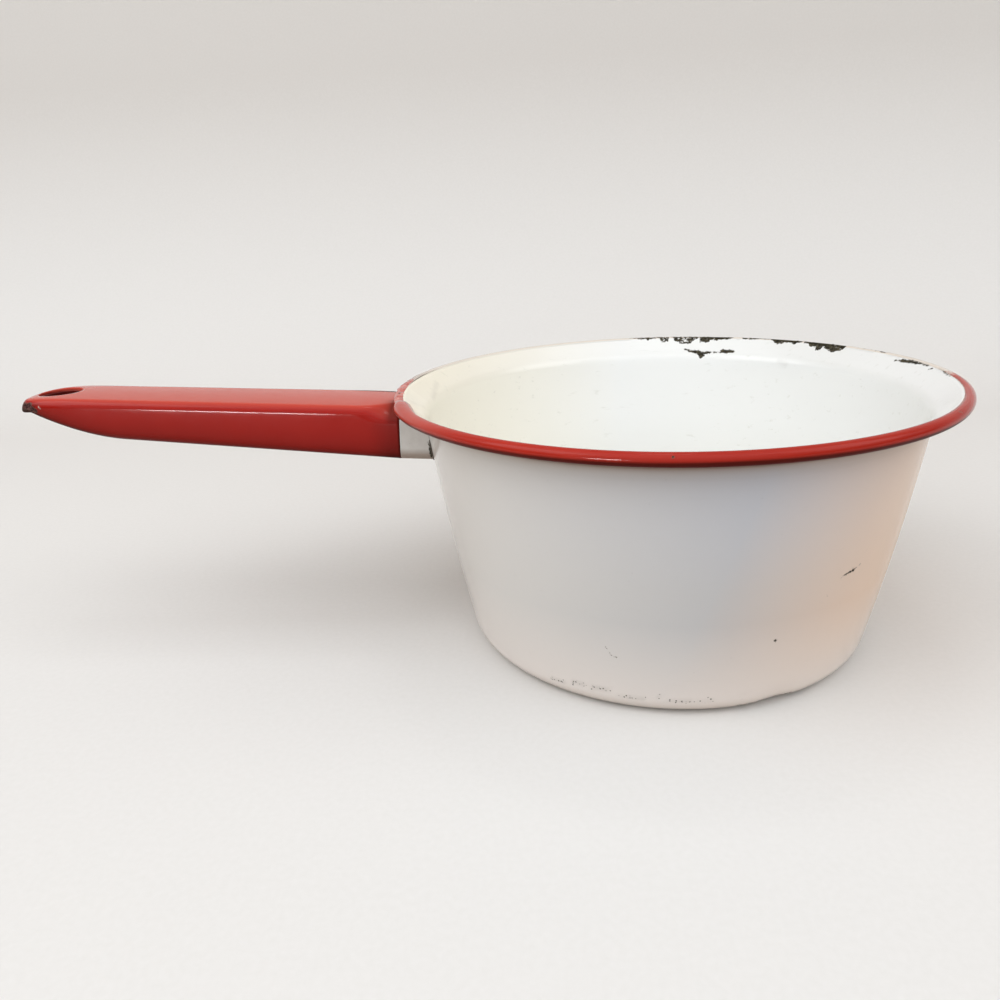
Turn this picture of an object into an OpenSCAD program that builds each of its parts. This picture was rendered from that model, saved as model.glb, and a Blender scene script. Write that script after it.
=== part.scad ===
// Enamelled steel saucepan with a rolled rim and a hollow pressed handle.
// Millimetres, +Z up. The origin is the centre of the underside of the base, and the handle points along -X.

/* [Bowl] */
// Diameter over the rolled rim
rim_d = 200; // [160:1:260]
// Height from the table to the top of the rim
rim_h = 95.5; // [75:0.5:130]
// How far the rim stands out past the wall under the flared lip
lip_reach = 10.5; // [8:0.1:13]
// Lean of the flared lip, away from upright, in degrees
lip_lean = 50; // [40:1:60]
// Bend radius between the wall and the flared lip
lip_bend_r = 5; // [2:0.5:8]
// Lean of the tapered wall, away from upright, in degrees
wall_lean = 9.7; // [4:0.1:14]
// Outward bow of the wall, half way up
wall_bow = 0.8; // [0:0.1:2]
// Radius between the base and the wall, outside
corner_r = 7.5; // [4:0.5:14]
// Thickness of the sheet with its enamel on both sides
wall_t = 1.2; // [0.8:0.1:1.8]

/* [Rim] */
// Diameter of the rolled rim's tube
bead_d = 4.3; // [3.8:0.1:6]
// How far round the tube is rolled, in degrees
curl_turn = 280; // [240:5:285]

/* [Handle] */
// Length from the outside of the rim to the tip
handle_l = 148.5; // [120:0.5:180]
// Width at the rim
handle_w = 32; // [26:0.5:38]
// Width where the nose starts
nose_w = 30; // [26:0.5:34]
// Depth at the rim
handle_depth = 19.9; // [17:0.1:26]
// Depth where the underside starts to sweep up
nose_depth = 15.6; // [12:0.1:18]
// Depth at the tip
tip_depth = 5.4; // [5:0.1:9]
// Rise of the handle towards its tip, in degrees
handle_rise = 3.1; // [0:0.1:8]
// Thickness of the pressed sheet with its enamel
handle_t = 1.4; // [1:0.1:1.8]
// Height of the crown across the top
crown_h = 0.3; // [0:0.1:1]
// Radius of the shoulders
shoulder_r = 3.2; // [2.2:0.1:4]
// Radius of the shoulders where they tuck under the rim
root_shoulder_r = 6; // [4:0.5:9]
// Length over which the shoulders fall away towards the rim
tuck_l = 12; // [8:1:20]
// Radius of the edge that is turned in underneath
turn_r = 3; // [2.2:0.1:4]
// Width of the flat of the turned-in edge
flange_w = 2; // [1:0.1:4]
// Length of the pointed nose
nose_l = 36; // [30:1:48]
// Fullness of the nose seen from above, where 2 is an ellipse and more is blunter
nose_fullness = 3.1; // [2:0.1:3.5]
// Length over which the underside sweeps up to the tip
sweep_l = 46; // [40:1:56]
// How far the top dips at the tip
nose_dip = 2.6; // [1:0.1:3.5]

/* [Hanging hole] */
// Diameter of the hole
hole_d = 15.5; // [8:0.5:16]
// Distance from the tip to the middle of the hole
hole_inset = 14.5; // [13.5:0.5:20]

/* [Joint] */
// Leg of the weld between the handle and the wall
weld_leg = 1.5; // [1:0.1:2.5]
// Gap between the top of the handle and the rim
seat_gap = 0.1; // [0.05:0.05:0.4]
// Gap between the end of the handle and the wall, which the weld fills
root_gap = 0.1; // [0.05:0.05:0.4]

/* [Hidden] */
white = "#E8E6E1";
red = "#B02420";
steel = "#C9C5BE";
$fn = 72;

function unit(v) = v / norm(v);
function mix(a, b, share) = a + (b - a) * share;
function ease(share) = let (s = min(1, max(0, share))) s * s * (3 - 2 * s);
function flipped(list) = [for (i = [len(list) - 1:-1:0]) list[i]];
function rest(list) = [for (i = [1:len(list) - 1]) list[i]];

// Bowl, pressed from one sheet
bend_steps = 8;
bow_shares = [0.15, 0.3, 0.45, 0.6, 0.75, 0.9];
rim_r = rim_d / 2;
bead_r = bead_d / 2;
bead_at = [rim_r - bead_r, rim_h - bead_r];
// Direction from the middle of the rim's tube to the place where the lip runs into it
curl_start = 180 - lip_lean;
lip_end = bead_at + (bead_r - wall_t) * [cos(curl_start), sin(curl_start)];
mouth_r = rim_r - lip_reach;
mouth_z = lip_end.y - (lip_end.x - mouth_r) / tan(lip_lean);
foot_r = mouth_r - mouth_z * tan(wall_lean);

// Arc of radius r that rounds the corner b between a and c
function rounded(a, b, c, r) =
    let (
        u = unit(a - b),
        v = unit(c - b),
        half = acos(u * v) / 2,
        mid = b + unit(u + v) * r / sin(half),
        from = b + u * r / tan(half) - mid,
        to = b + v * r / tan(half) - mid,
        way = sign(cross(from, to)),
        first = atan2(from.y, from.x)
    )
    [for (i = [0:bend_steps])
        let (turn = first + way * (180 - 2 * half) * i / bend_steps)
        mid + r * [cos(turn), sin(turn)]];

// The path moved to its left by t
function beside(path, t) =
    let (last = len(path) - 1)
    [for (i = [0:last])
        let (
            before = unit(path[max(i, 1)] - path[max(i, 1) - 1]),
            after = unit(path[min(i + 1, last)] - path[min(i, last - 1)]),
            n1 = [-before.y, before.x],
            n2 = [-after.y, after.x],
            n = unit(n1 + n2)
        )
        path[i] + n * t / (n * n1)];

// Outer skin of the bowl, from the middle of the base to the end of the lip
foot_bend = rounded([0, 0], [foot_r, 0], [mouth_r, mouth_z], corner_r);
lip_bend = rounded([foot_r, 0], [mouth_r, mouth_z], lip_end, lip_bend_r);
wall_bowed = [for (share = bow_shares)
    mix(foot_bend[bend_steps], lip_bend[0], share)
        + wall_bow * sin(180 * share) * [cos(wall_lean), -sin(wall_lean)]];
skin = concat([[0, 0]], foot_bend, wall_bowed, lip_bend, [lip_end]);
skin_table = [for (p = skin) if (p.y > 0) [p.y, p.x]];

// Radius of the outer skin at height z
function skin_r(z) = lookup(z, skin_table);

module bowl() {
    color(white)
        rotate_extrude()
            polygon(concat(skin, flipped(beside(skin, wall_t))));
}

// Rim, rolled outwards into a tube that is open underneath
module rim_bead() {
    reach = bead_d;
    curl_end = curl_start - curl_turn;
    gap_mid = (curl_start + curl_end + 360) / 2;
    color(red)
        rotate_extrude()
            translate(bead_at)
                difference() {
                    circle(bead_r);
                    circle(bead_r - wall_t);
                    polygon([
                        [0, 0],
                        reach * [cos(curl_start), sin(curl_start)],
                        reach * [cos(gap_mid), sin(gap_mid)],
                        reach * [cos(curl_end), sin(curl_end)]
                    ]);
                }
}

// Handle, pressed from one sheet into a boat that is open underneath, with its long edges turned in.
// In its own frame x runs out along its top from the rim, y across it and z up out of it.
shoulder_steps = 6;
turn_steps = 5;
nose_steps = 14;
tuck_shares = [0, 0.25, 0.5, 0.75, 1];
body_shares = [0.33, 0.67];
sweep_shares = [0, 0.33, 0.67];
top_z = rim_h - bead_d - seat_gap;
out_way = [-cos(handle_rise), 0, sin(handle_rise)];
up_way = [sin(handle_rise), 0, cos(handle_rise)];
function placed(p) = [-rim_r, 0, top_z] + p.x * out_way + [0, p.y, 0] + p.z * up_way;

nose_x = handle_l - nose_l;
sweep_x = handle_l - sweep_l;
hole_x = handle_l - hole_inset;
// The red of the handle ends under the rim, this share of the tube's radius in from its outside
under_rim_share = 1.3;
root_x = -bead_r * under_rim_share;
// The turned-in edge is bent tight at the tip, in shares of the sheet's thickness
tip_turn_share = 1.1;
tip_flange_share = 0.1;
tip_turn_r = handle_t * tip_turn_share;
tip_flange_w = handle_t * tip_flange_share;
// Least side between the shoulder and the turned-in edge, as a share of the sheet's thickness
side_share = 0.25;
least_side = handle_t * side_share;
// The sweep of the underside is over at this share of its length
sweep_end_share = 0.82;
sweep_power = 2;
dip_power = 4;
// Half width of the section at the tip, as a share of the nose's
tip_share = 0.5;
// Place of the crown's side between the middle line and the shoulder
crown_share = 0.5;

function half_width(x) = mix(handle_w, nose_w, x / nose_x) / 2;
function swept(x) = pow(min(1, max(0, (x - sweep_x) / (sweep_l * sweep_end_share))), sweep_power);
function depth(x) = mix(mix(handle_depth, nose_depth, x / sweep_x), tip_depth, swept(x));
function shoulder(x) = mix(shoulder_r, root_shoulder_r, ease((root_x + tuck_l - x) / tuck_l));
function dip(x) = nose_dip * pow(max(0, x - nose_x) / nose_l, dip_power);

// Half a section of the sheet, as [distance from the middle line, height], from the middle of the top
// over the shoulder to the end of the turned-in edge; inset moves it into the sheet
function half_section(w, x, inset) =
    let (
        d = depth(x),
        rt = mix(turn_r, tip_turn_r, swept(x)),
        r = min(shoulder(x), d - rt - crown_h - least_side),
        flange = mix(flange_w, tip_flange_w, swept(x))
    )
    concat(
        [[0, -inset]],
        [[(w - r) * crown_share, -crown_h * pow(crown_share, 2) - inset]],
        [for (i = [0:shoulder_steps])
            let (turn = 90 - 90 * i / shoulder_steps)
            [w - r, -crown_h - r] + (r - inset) * [cos(turn), sin(turn)]],
        [for (i = [0:turn_steps])
            let (turn = -90 * i / turn_steps)
            [w - rt, rt - d] + (rt - inset) * [cos(turn), sin(turn)]],
        [[w - rt - flange, inset - d]]
    );

// A station is [x of the middle line, direction across as [x, y], half width, x of the edge]
function body_station(x) = [x, [0, 1], half_width(x), x];
function nose_station(share) =
    let (
        b = nose_w / 2,
        bend = 2 / nose_fullness,
        edge = [nose_l * pow(sin(90 * share), bend), b * pow(cos(90 * share), bend)],
        mid = edge.x * (1 - tip_share * b / nose_l),
        across = edge - [mid, 0]
    )
    [nose_x + mid, unit(across), norm(across), nose_x + edge.x];

function half_ring(station, inset, side) =
    [for (p = half_section(station[2], station[3], inset))
        let (x = station[0] + station[1].x * p.x)
        [x, side * station[1].y * p.x, p.y - dip(x)]];

// A whole section: the outside from one turned-in edge over the top to the other, and back along the inside
function ring(station) =
    concat(
        flipped(half_ring(station, 0, -1)),
        rest(half_ring(station, 0, 1)),
        flipped(half_ring(station, handle_t, 1)),
        rest(half_ring(station, handle_t, -1))
    );

// Points of half a section, and of a whole one
half_n = 2 + shoulder_steps + 1 + turn_steps + 1 + 1;
ring_n = 2 * (2 * half_n - 1);

function side_faces(rings) =
    [for (i = [0:rings - 2])
        for (j = [0:ring_n - 1])
            let (k = (j + 1) % ring_n)
            [i * ring_n + j, (i + 1) * ring_n + j, (i + 1) * ring_n + k, i * ring_n + k]];

// The end of the sheet, as a strip from its outside to its inside
function end_faces(first, turned) =
    [for (j = [0:2 * half_n - 3])
        let (face = [first + j, first + j + 1, first + ring_n - 2 - j, first + ring_n - 1 - j])
        turned ? flipped(face) : face];

// The two halves of the last section meet at the tip, so that section is kept once
function tip_index(j) =
    j < half_n ? half_n - 1 - j
    : j < 2 * half_n - 1 ? j - half_n + 1
    : j < 3 * half_n - 1 ? 4 * half_n - 2 - j
    : j - 2 * half_n + 2;

function tip_faces(first) =
    [for (j = [0:ring_n - 1])
        let (
            k = (j + 1) % ring_n,
            tip = first + ring_n
        )
        [first + j, tip + tip_index(j), tip + tip_index(k), first + k]];

module handle_shell() {
    stations = concat(
        [for (share = tuck_shares) body_station(root_x + tuck_l * share)],
        [for (share = body_shares) body_station(mix(root_x + tuck_l, sweep_x, share))],
        [for (share = sweep_shares) body_station(mix(sweep_x, nose_x, share))],
        [for (i = [0:nose_steps - 1]) nose_station(i / nose_steps)]
    );
    tip = nose_station(1);
    points = concat(
        [for (s = stations) each ring(s)],
        half_ring(tip, 0, 1),
        half_ring(tip, handle_t, 1)
    );
    rings = len(stations);
    faces = concat(end_faces(0, false), side_faces(rings), tip_faces((rings - 1) * ring_n));
    slope = atan(dip_power * dip(hole_x) / (hole_x - nose_x));
    over = handle_t;
    color(red)
        difference() {
            polyhedron(points = [for (p = points) placed(p)], faces = faces);
            translate(placed([hole_x, 0, -dip(hole_x)]))
                rotate([0, handle_rise - slope, 0])
                    translate([0, 0, -handle_t - over])
                        cylinder(h = handle_t + 2 * over, d = hole_d);
        }
}

// Where a line along the handle through the point p of a section meets the wall
wall_tries = 6;
function wall_x(p, x, tries) =
    let (
        r = skin_r(placed([x, p.y, p.z]).z) + root_gap,
        level = sqrt(r * r - p.y * p.y) - rim_r + p.z * sin(handle_rise)
    )
    tries == 0 ? x : wall_x(p, level / cos(handle_rise), tries - 1);
function on_wall(p) = [wall_x(p, root_x, wall_tries), p.y, p.z];

// White end of the handle, which runs from the edge of the red to the wall and is cut to its curve
module handle_root() {
    red_ring = ring(body_station(root_x));
    wall_ring = [for (p = red_ring) on_wall(p)];
    mid_share = 0.5;
    mid_ring = [for (i = [0:ring_n - 1]) mix(red_ring[i], wall_ring[i], mid_share)];
    color(white)
        polyhedron(
            points = [for (p = concat(wall_ring, mid_ring, red_ring)) placed(p)],
            faces = concat(end_faces(0, false), side_faces(3), end_faces(2 * ring_n, true))
        );
}

// Weld along one side of the handle's end and round its turned-in edge, with a hollow face
module weld(side) {
    line = half_ring(body_station(root_x), 0, side);
    first = 2 + shoulder_steps;
    last = half_n - 2;
    crest_share = 0.5;
    hollow_share = 0.35;
    section = [for (i = [first:last])
        let (
            run = unit([line[i + 1].y, line[i + 1].z] - [line[i - 1].y, line[i - 1].z]),
            out = side * [-run.y, run.x],
            heel = on_wall(line[i]),
            toe = on_wall(line[i] + weld_leg * [0, out.x, out.y]),
            crest = heel + [weld_leg, 0, 0],
            face_mid = mix(mix(toe, crest, crest_share), heel, hollow_share)
        )
        each [heel, toe, face_mid, crest]];
    loop = 4;
    n = last - first + 1;
    sides = [for (i = [0:n - 2])
        for (j = [0:loop - 1])
            let (k = (j + 1) % loop)
            [i * loop + j, i * loop + k, (i + 1) * loop + k, (i + 1) * loop + j]];
    ends = [[for (j = [loop - 1:-1:0]) j], [for (j = [0:loop - 1]) (n - 1) * loop + j]];
    faces = concat(sides, ends);
    polyhedron(
        points = [for (p = section) placed(p)],
        faces = side > 0 ? faces : [for (f = faces) flipped(f)]
    );
}

module root_weld() {
    color(steel)
        for (side = [-1, 1])
            weld(side);
}

bowl();
rim_bead();
handle_shell();
handle_root();
root_weld();
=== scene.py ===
# Enamelled steel saucepan: the looks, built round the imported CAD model. Sizes in the sections are in
# millimetres, as on a drawing, and turn to metres where a mesh is made.
import math

import bmesh
import bpy
import numpy as np
from mathutils import Matrix, Vector, noise


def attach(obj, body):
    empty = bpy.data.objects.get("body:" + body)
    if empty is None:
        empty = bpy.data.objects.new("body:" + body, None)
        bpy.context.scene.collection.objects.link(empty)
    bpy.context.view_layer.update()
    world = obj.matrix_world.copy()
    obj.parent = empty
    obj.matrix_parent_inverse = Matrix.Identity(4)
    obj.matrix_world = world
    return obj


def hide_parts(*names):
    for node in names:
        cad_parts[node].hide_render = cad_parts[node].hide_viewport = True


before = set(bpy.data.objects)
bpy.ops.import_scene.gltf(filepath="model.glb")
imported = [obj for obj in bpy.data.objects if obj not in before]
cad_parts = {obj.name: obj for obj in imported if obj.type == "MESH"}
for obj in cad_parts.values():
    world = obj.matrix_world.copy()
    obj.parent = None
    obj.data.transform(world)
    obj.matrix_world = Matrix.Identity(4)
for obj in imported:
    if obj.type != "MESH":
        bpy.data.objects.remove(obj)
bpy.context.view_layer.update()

# Studio. A pale sweep of card runs under the pan and up behind it. Light comes from a bright ceiling with a
# small lamp, from a wide soft box above the camera, one low in front and one at each side. A low strip of
# window lies far in front at the left and only shows in the gloss. The camera has the photograph's place.
MM = 0.001
FRAME_PX = 1000
FOCAL_PX = 810
SENSOR_W = 36
camera_data = bpy.data.cameras.new("camera")
camera_data.sensor_width = SENSOR_W
camera_data.lens = SENSOR_W * FOCAL_PX / FRAME_PX
camera_data.clip_start = 0.01
camera = bpy.data.objects.new("camera", camera_data)
bpy.context.scene.collection.objects.link(camera)
bpy.context.scene.camera = camera
camera_at = Vector((-36.84, -300.02, 155.55)) * MM
camera_ahead = Vector((-0.08361, 0.93882, -0.33411)).normalized()
camera_up = Vector((0.02199, 0.33694, 0.94127))
camera_right = camera_ahead.cross(camera_up).normalized()
camera_up = camera_right.cross(camera_ahead)
camera.matrix_world = Matrix((
    (camera_right.x, camera_up.x, -camera_ahead.x, camera_at.x),
    (camera_right.y, camera_up.y, -camera_ahead.y, camera_at.y),
    (camera_right.z, camera_up.z, -camera_ahead.z, camera_at.z),
    (0, 0, 0, 1),
))


def linear(hex_colour):
    """An sRGB hex colour as linear RGBA."""
    parts = [int(hex_colour[i:i + 2], 16) / 255 for i in (1, 3, 5)]
    return [c / 12.92 if c <= 0.04045 else ((c + 0.055) / 1.055) ** 2.4 for c in parts] + [1]


def add(tree, kind, inputs={}, **settings):
    """Adds a node to a tree. A value in inputs is a constant, or the output socket to link."""
    node = tree.nodes.new(kind)
    for name, value in settings.items():
        setattr(node, name, value)
    for name, value in inputs.items():
        if isinstance(value, bpy.types.NodeSocket):
            tree.links.new(value, node.inputs[name])
        else:
            node.inputs[name].default_value = value
    return node


def new_material(name):
    """An empty material with its output node, as (material, tree, output)."""
    material = bpy.data.materials.new(name)
    material.use_nodes = True
    tree = material.node_tree
    tree.nodes.clear()
    return material, tree, tree.nodes.new("ShaderNodeOutputMaterial")


# Matt card: no gloss to the eye, and a faint mottle of paper fibre, 2 mm across. The light that it sends
# back onto the pan is a little darker and warmer than it looks.
card, tree, output = new_material("matt_card")
place = add(tree, "ShaderNodeTexCoord").outputs["Object"]
fibre = add(tree, "ShaderNodeTexNoise", {"Vector": place, "Scale": 1 / (2 * MM), "Detail": 3})
tint = add(tree, "ShaderNodeMix", {"Factor": fibre.outputs["Fac"], "A": linear("#D9D8D5"),
                                   "B": linear("#DFDEDC")}, data_type="RGBA")
ray = add(tree, "ShaderNodeLightPath").outputs
seen = add(tree, "ShaderNodeMath", {0: ray["Is Camera Ray"], 1: ray["Is Glossy Ray"]}, operation="MAXIMUM")
seen = add(tree, "ShaderNodeMath", {0: seen.outputs["Value"], 1: ray["Is Transmission Ray"]},
           operation="MAXIMUM")
shown = add(tree, "ShaderNodeMix", {"Factor": seen.outputs["Value"], "A": linear("#B8AA9C"),
                                    "B": tint.outputs["Result"]}, data_type="RGBA")
shader = add(tree, "ShaderNodeBsdfPrincipled", {"Base Color": shown.outputs["Result"], "Roughness": 0.9})
tree.links.new(shader.outputs["BSDF"], output.inputs["Surface"])

# The card starts in front of the pan, bends up behind it over a radius and goes on as a wall
SWEEP_NEAR = -2500
SWEEP_FAR = 620
SWEEP_R = 300
SWEEP_H = 2200
SWEEP_HALF_W = 3200
sweep_line = [(SWEEP_NEAR, 0), (SWEEP_FAR - SWEEP_R, 0)]
for degrees in range(5, 90, 5):
    turn = math.radians(degrees)
    sweep_line.append((SWEEP_FAR - SWEEP_R + SWEEP_R * math.sin(turn), SWEEP_R - SWEEP_R * math.cos(turn)))
sweep_line += [(SWEEP_FAR, SWEEP_R), (SWEEP_FAR, SWEEP_H)]
sweep_mesh = bpy.data.meshes.new("card_sweep")
sweep_mesh.from_pydata(
    [(side * SWEEP_HALF_W * MM, y * MM, z * MM) for y, z in sweep_line for side in (-1, 1)], [],
    [(2 * i, 2 * i + 1, 2 * i + 3, 2 * i + 2) for i in range(len(sweep_line) - 1)])
sweep_mesh.polygons.foreach_set("use_smooth", [True] * len(sweep_mesh.polygons))
sweep_mesh.materials.append(card)
sweep = bpy.data.objects.new("card_sweep", sweep_mesh)
bpy.context.scene.collection.objects.link(sweep)


def soft_box(name, at, aim, width, height, power):
    """An area lamp at a place, aimed at another. Places and sizes are in mm and the power in watts."""
    data = bpy.data.lights.new(name, "AREA")
    data.shape = "RECTANGLE"
    data.size = width * MM
    data.size_y = height * MM
    data.energy = power
    lamp = bpy.data.objects.new(name, data)
    bpy.context.scene.collection.objects.link(lamp)
    lamp.matrix_world = (Matrix.Translation(Vector(at) * MM)
                         @ (Vector(aim) - Vector(at)).to_track_quat("-Z", "Y").to_matrix().to_4x4())
    return lamp


PAN_MIDDLE = (0, 0, 40)
soft_box("front_top_box", (-150, -700, 1300), PAN_MIDDLE, 1800, 1200, 4.4)
soft_box("left_box", (-1100, -500, 1100), PAN_MIDDLE, 1000, 900, 5.0)
soft_box("right_box", (1100, -400, 1100), PAN_MIDDLE, 1000, 900, 3.2)
soft_box("ceiling_lamp", (40, 260, 1500), PAN_MIDDLE, 260, 140, 0.6)
soft_box("front_low_box", (-150, -1500, 420), (0, 0, 60), 2400, 700, 3.2)
window = soft_box("window", (-755, -1450, 50), (-150, 0, 90), 380, 45, 10)
window.visible_diffuse = False

# The air round the pan is dim near the floor and brightens towards the ceiling
world = bpy.data.worlds.new("studio_air")
bpy.context.scene.world = world
world.use_nodes = True
air = world.node_tree
way = add(air, "ShaderNodeSeparateXYZ", {"Vector": add(air, "ShaderNodeTexCoord").outputs["Generated"]})
low_air = add(air, "ShaderNodeMapRange", {"Value": way.outputs["Z"], "From Min": 0.12, "From Max": 0.4,
                                          "To Min": 0.1, "To Max": 0.9})
high_air = add(air, "ShaderNodeMapRange", {"Value": way.outputs["Z"], "From Min": 0.4, "From Max": 0.85,
                                           "To Min": 0, "To Max": 0.26})
dome = add(air, "ShaderNodeMath", {0: low_air.outputs["Result"], 1: high_air.outputs["Result"]},
           operation="ADD")
air.nodes["Background"].inputs["Color"].default_value = linear("#FCFDFF")
air.links.new(dome.outputs["Value"], air.nodes["Background"].inputs["Strength"])
bpy.context.scene.view_settings.view_transform = "Standard"

# Bowl. One round of sheet steel, drawn deep, with a flat base, a tapered wall that bows a little and a
# flared lip, dipped in white vitreous enamel inside and out. It is chipped along the lip and the foot.
RIM_R = 100
RIM_H = 95.5
TUBE_R = 2.15
SHEET = 1.2
LIP_REACH = 10.5
LIP_BEND_R = 5
FOOT_BEND_R = 7.5
WALL_BOW = 0.8
# Leans are degrees from upright
LIP_LEAN = 50
WALL_LEAN = 9.7
# The middle of the rolled rim's tube, as (radius, height)
TUBE_AT = (RIM_R - TUBE_R, RIM_H - TUBE_R)


def rounded(a, b, c, radius, steps):
    """The arc that rounds the corner b between a and c."""
    a, b, c = (np.array(p, float) for p in (a, b, c))
    u, v = (a - b) / np.linalg.norm(a - b), (c - b) / np.linalg.norm(c - b)
    half = math.acos(u @ v) / 2
    middle = b + (u + v) / np.linalg.norm(u + v) * radius / math.sin(half)
    start, end = b + u * radius / math.tan(half) - middle, b + v * radius / math.tan(half) - middle
    way = math.copysign(1, start[0] * end[1] - start[1] * end[0])
    first = math.atan2(start[1], start[0])
    turns = [first + way * (math.pi - 2 * half) * i / steps for i in range(steps + 1)]
    return [middle + radius * np.array((math.cos(t), math.sin(t))) for t in turns]


def beside(path, gap):
    """The path moved to its left."""
    path = np.array(path)
    way = np.diff(path, axis=0)
    way /= np.linalg.norm(way, axis=1)[:, None]
    left = np.stack((-way[:, 1], way[:, 0]), axis=1)
    before, after = np.vstack((left[:1], left)), np.vstack((left, left[-1:]))
    middle = before + after
    middle /= np.linalg.norm(middle, axis=1)[:, None]
    return path + middle * gap / (middle * before).sum(axis=1)[:, None]


def bowl_skin():
    """Outside of the bowl as (radius, height), from the middle of the base to the end of the lip."""
    lean, lip = math.radians(WALL_LEAN), math.radians(LIP_LEAN)
    roll = math.radians(180 - LIP_LEAN)
    lip_end = np.array(TUBE_AT) + (TUBE_R - SHEET) * np.array((math.cos(roll), math.sin(roll)))
    mouth_r = RIM_R - LIP_REACH
    mouth_z = lip_end[1] - (lip_end[0] - mouth_r) / math.tan(lip)
    foot_r = mouth_r - mouth_z * math.tan(lean)
    foot = rounded((0, 0), (foot_r, 0), (mouth_r, mouth_z), FOOT_BEND_R, 10)
    bend = rounded((foot_r, 0), (mouth_r, mouth_z), lip_end, LIP_BEND_R, 8)
    base_rings = (0, 0.04, 0.1, 0.2, 0.32, 0.45, 0.58, 0.7, 0.8, 0.87, 0.92, 0.96, 0.985)
    base = [(foot[0][0] * s, 0) for s in base_rings]
    wall = [foot[-1] + (bend[0] - foot[-1]) * s + WALL_BOW * math.sin(math.pi * s)
            * np.array((math.cos(lean), -math.sin(lean))) for s in (i / 44 for i in range(1, 44))]
    lip_run = [bend[-1] + (lip_end - bend[-1]) * i / 7 for i in range(1, 8)]
    return [np.array(p, float) for p in base + foot + wall + bend + lip_run]


def spun_tree():
    """Geometry nodes that spin an outline of edges round the upright axis, as a sheet is spun or rolled."""
    tree = bpy.data.node_groups.new("spun_sheet", "GeometryNodeTree")
    tree.is_modifier = True
    sockets = tree.interface
    sockets.new_socket("Outline", in_out="INPUT", socket_type="NodeSocketGeometry")
    for name, kind in (("Turning Radius", "NodeSocketFloat"), ("Steps Round", "NodeSocketInt"),
                       ("Weld Distance", "NodeSocketFloat"), ("Finish", "NodeSocketMaterial")):
        sockets.new_socket(name, in_out="INPUT", socket_type=kind)
    sockets.new_socket("Piece", in_out="OUTPUT", socket_type="NodeSocketGeometry")
    given = add(tree, "NodeGroupInput").outputs
    circle = add(tree, "GeometryNodeCurvePrimitiveCircle",
                 {"Resolution": given["Steps Round"], "Radius": given["Turning Radius"]})
    upright = add(tree, "GeometryNodeSetCurveNormal", {"Curve": circle.outputs["Curve"]}, mode="Z_UP")
    outline = add(tree, "GeometryNodeMeshToCurve", {"Mesh": given["Outline"]})
    skin = add(tree, "GeometryNodeCurveToMesh",
               {"Curve": upright.outputs["Curve"], "Profile Curve": outline.outputs["Curve"]})
    welded = add(tree, "GeometryNodeMergeByDistance",
                 {"Geometry": skin.outputs["Mesh"], "Distance": given["Weld Distance"]})
    smooth = add(tree, "GeometryNodeSetShadeSmooth", {"Geometry": welded.outputs["Geometry"]})
    real = add(tree, "GeometryNodeRealizeInstances", {"Geometry": smooth.outputs["Geometry"]})
    finished = add(tree, "GeometryNodeSetMaterial", {"Geometry": real.outputs["Geometry"],
                                                     "Material": given["Finish"]})
    add(tree, "NodeGroupOutput", {"Piece": finished.outputs["Geometry"]})
    return tree


def grown(name, edges_mesh, tree, values):
    """The plain mesh object that a tree of geometry nodes makes from a mesh. Values go by input names."""
    seed = bpy.data.objects.new(name, edges_mesh)
    bpy.context.scene.collection.objects.link(seed)
    modifier = seed.modifiers.new("nodes", "NODES")
    modifier.node_group = tree
    for socket in tree.interface.items_tree:
        if socket.in_out == "INPUT" and socket.name in values:
            modifier[socket.identifier] = values[socket.name]
    seed.update_tag()
    bpy.context.view_layer.update()
    made = bpy.data.meshes.new_from_object(seed.evaluated_get(bpy.context.evaluated_depsgraph_get()))
    seed.modifiers.clear()
    seed.data = made
    made.name = name
    return seed


SPIN = spun_tree()


def spun(name, outline, steps, material, loop=False):
    """An outline of (radius, height) in mm, spun round the pan's axis."""
    # Any radius inside the outline does, since the outline is moved by as much
    turning = 60
    mesh = bpy.data.meshes.new(name)
    ends = [(i, i + 1) for i in range(len(outline) - 1)] + ([(len(outline) - 1, 0)] if loop else [])
    mesh.from_pydata([((r - turning) * MM, -z * MM, 0) for r, z in outline], ends, [])
    return grown(name, mesh, SPIN, {"Turning Radius": turning * MM, "Steps Round": steps,
                                    "Weld Distance": 0.01 * MM, "Finish": material})


def facing_out(mesh):
    """Turns the faces outwards and merges doubles."""
    work = bmesh.new()
    work.from_mesh(mesh)
    bmesh.ops.remove_doubles(work, verts=work.verts, dist=0.004 * MM)
    bmesh.ops.recalc_face_normals(work, faces=work.faces)
    work.to_mesh(mesh)
    work.free()


def points_of(mesh):
    """The mesh's points in mm, and their normals."""
    points, normals = np.empty(len(mesh.vertices) * 3), np.empty(len(mesh.vertices) * 3)
    mesh.vertices.foreach_get("co", points)
    mesh.vertices.foreach_get("normal", normals)
    return points.reshape(-1, 3) / MM, normals.reshape(-1, 3)


def mottle(points, size, octaves=2, shift=0):
    """Fractal noise from -1 to 1 on points in mm, with lumps of the given size."""
    return np.array([noise.fractal(Vector(p) / size + Vector((shift, shift * 2, shift * 3)), 1, 2, octaves)
                     for p in points])


def inside_marks(points, marks):
    """How far each point lies inside a set of marks, in mm. A mark is (start, end, half width)."""
    field = np.full(len(points), -3.0)
    for start, end, half in marks:
        start, end = np.array(start, float), np.array(end, float)
        run = end - start
        share = np.clip(((points - start) @ run) / max(run @ run, 1e-9), 0, 1)
        field = np.maximum(field, half - np.linalg.norm(points - start - share[:, None] * run, axis=1))
    return field


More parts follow.
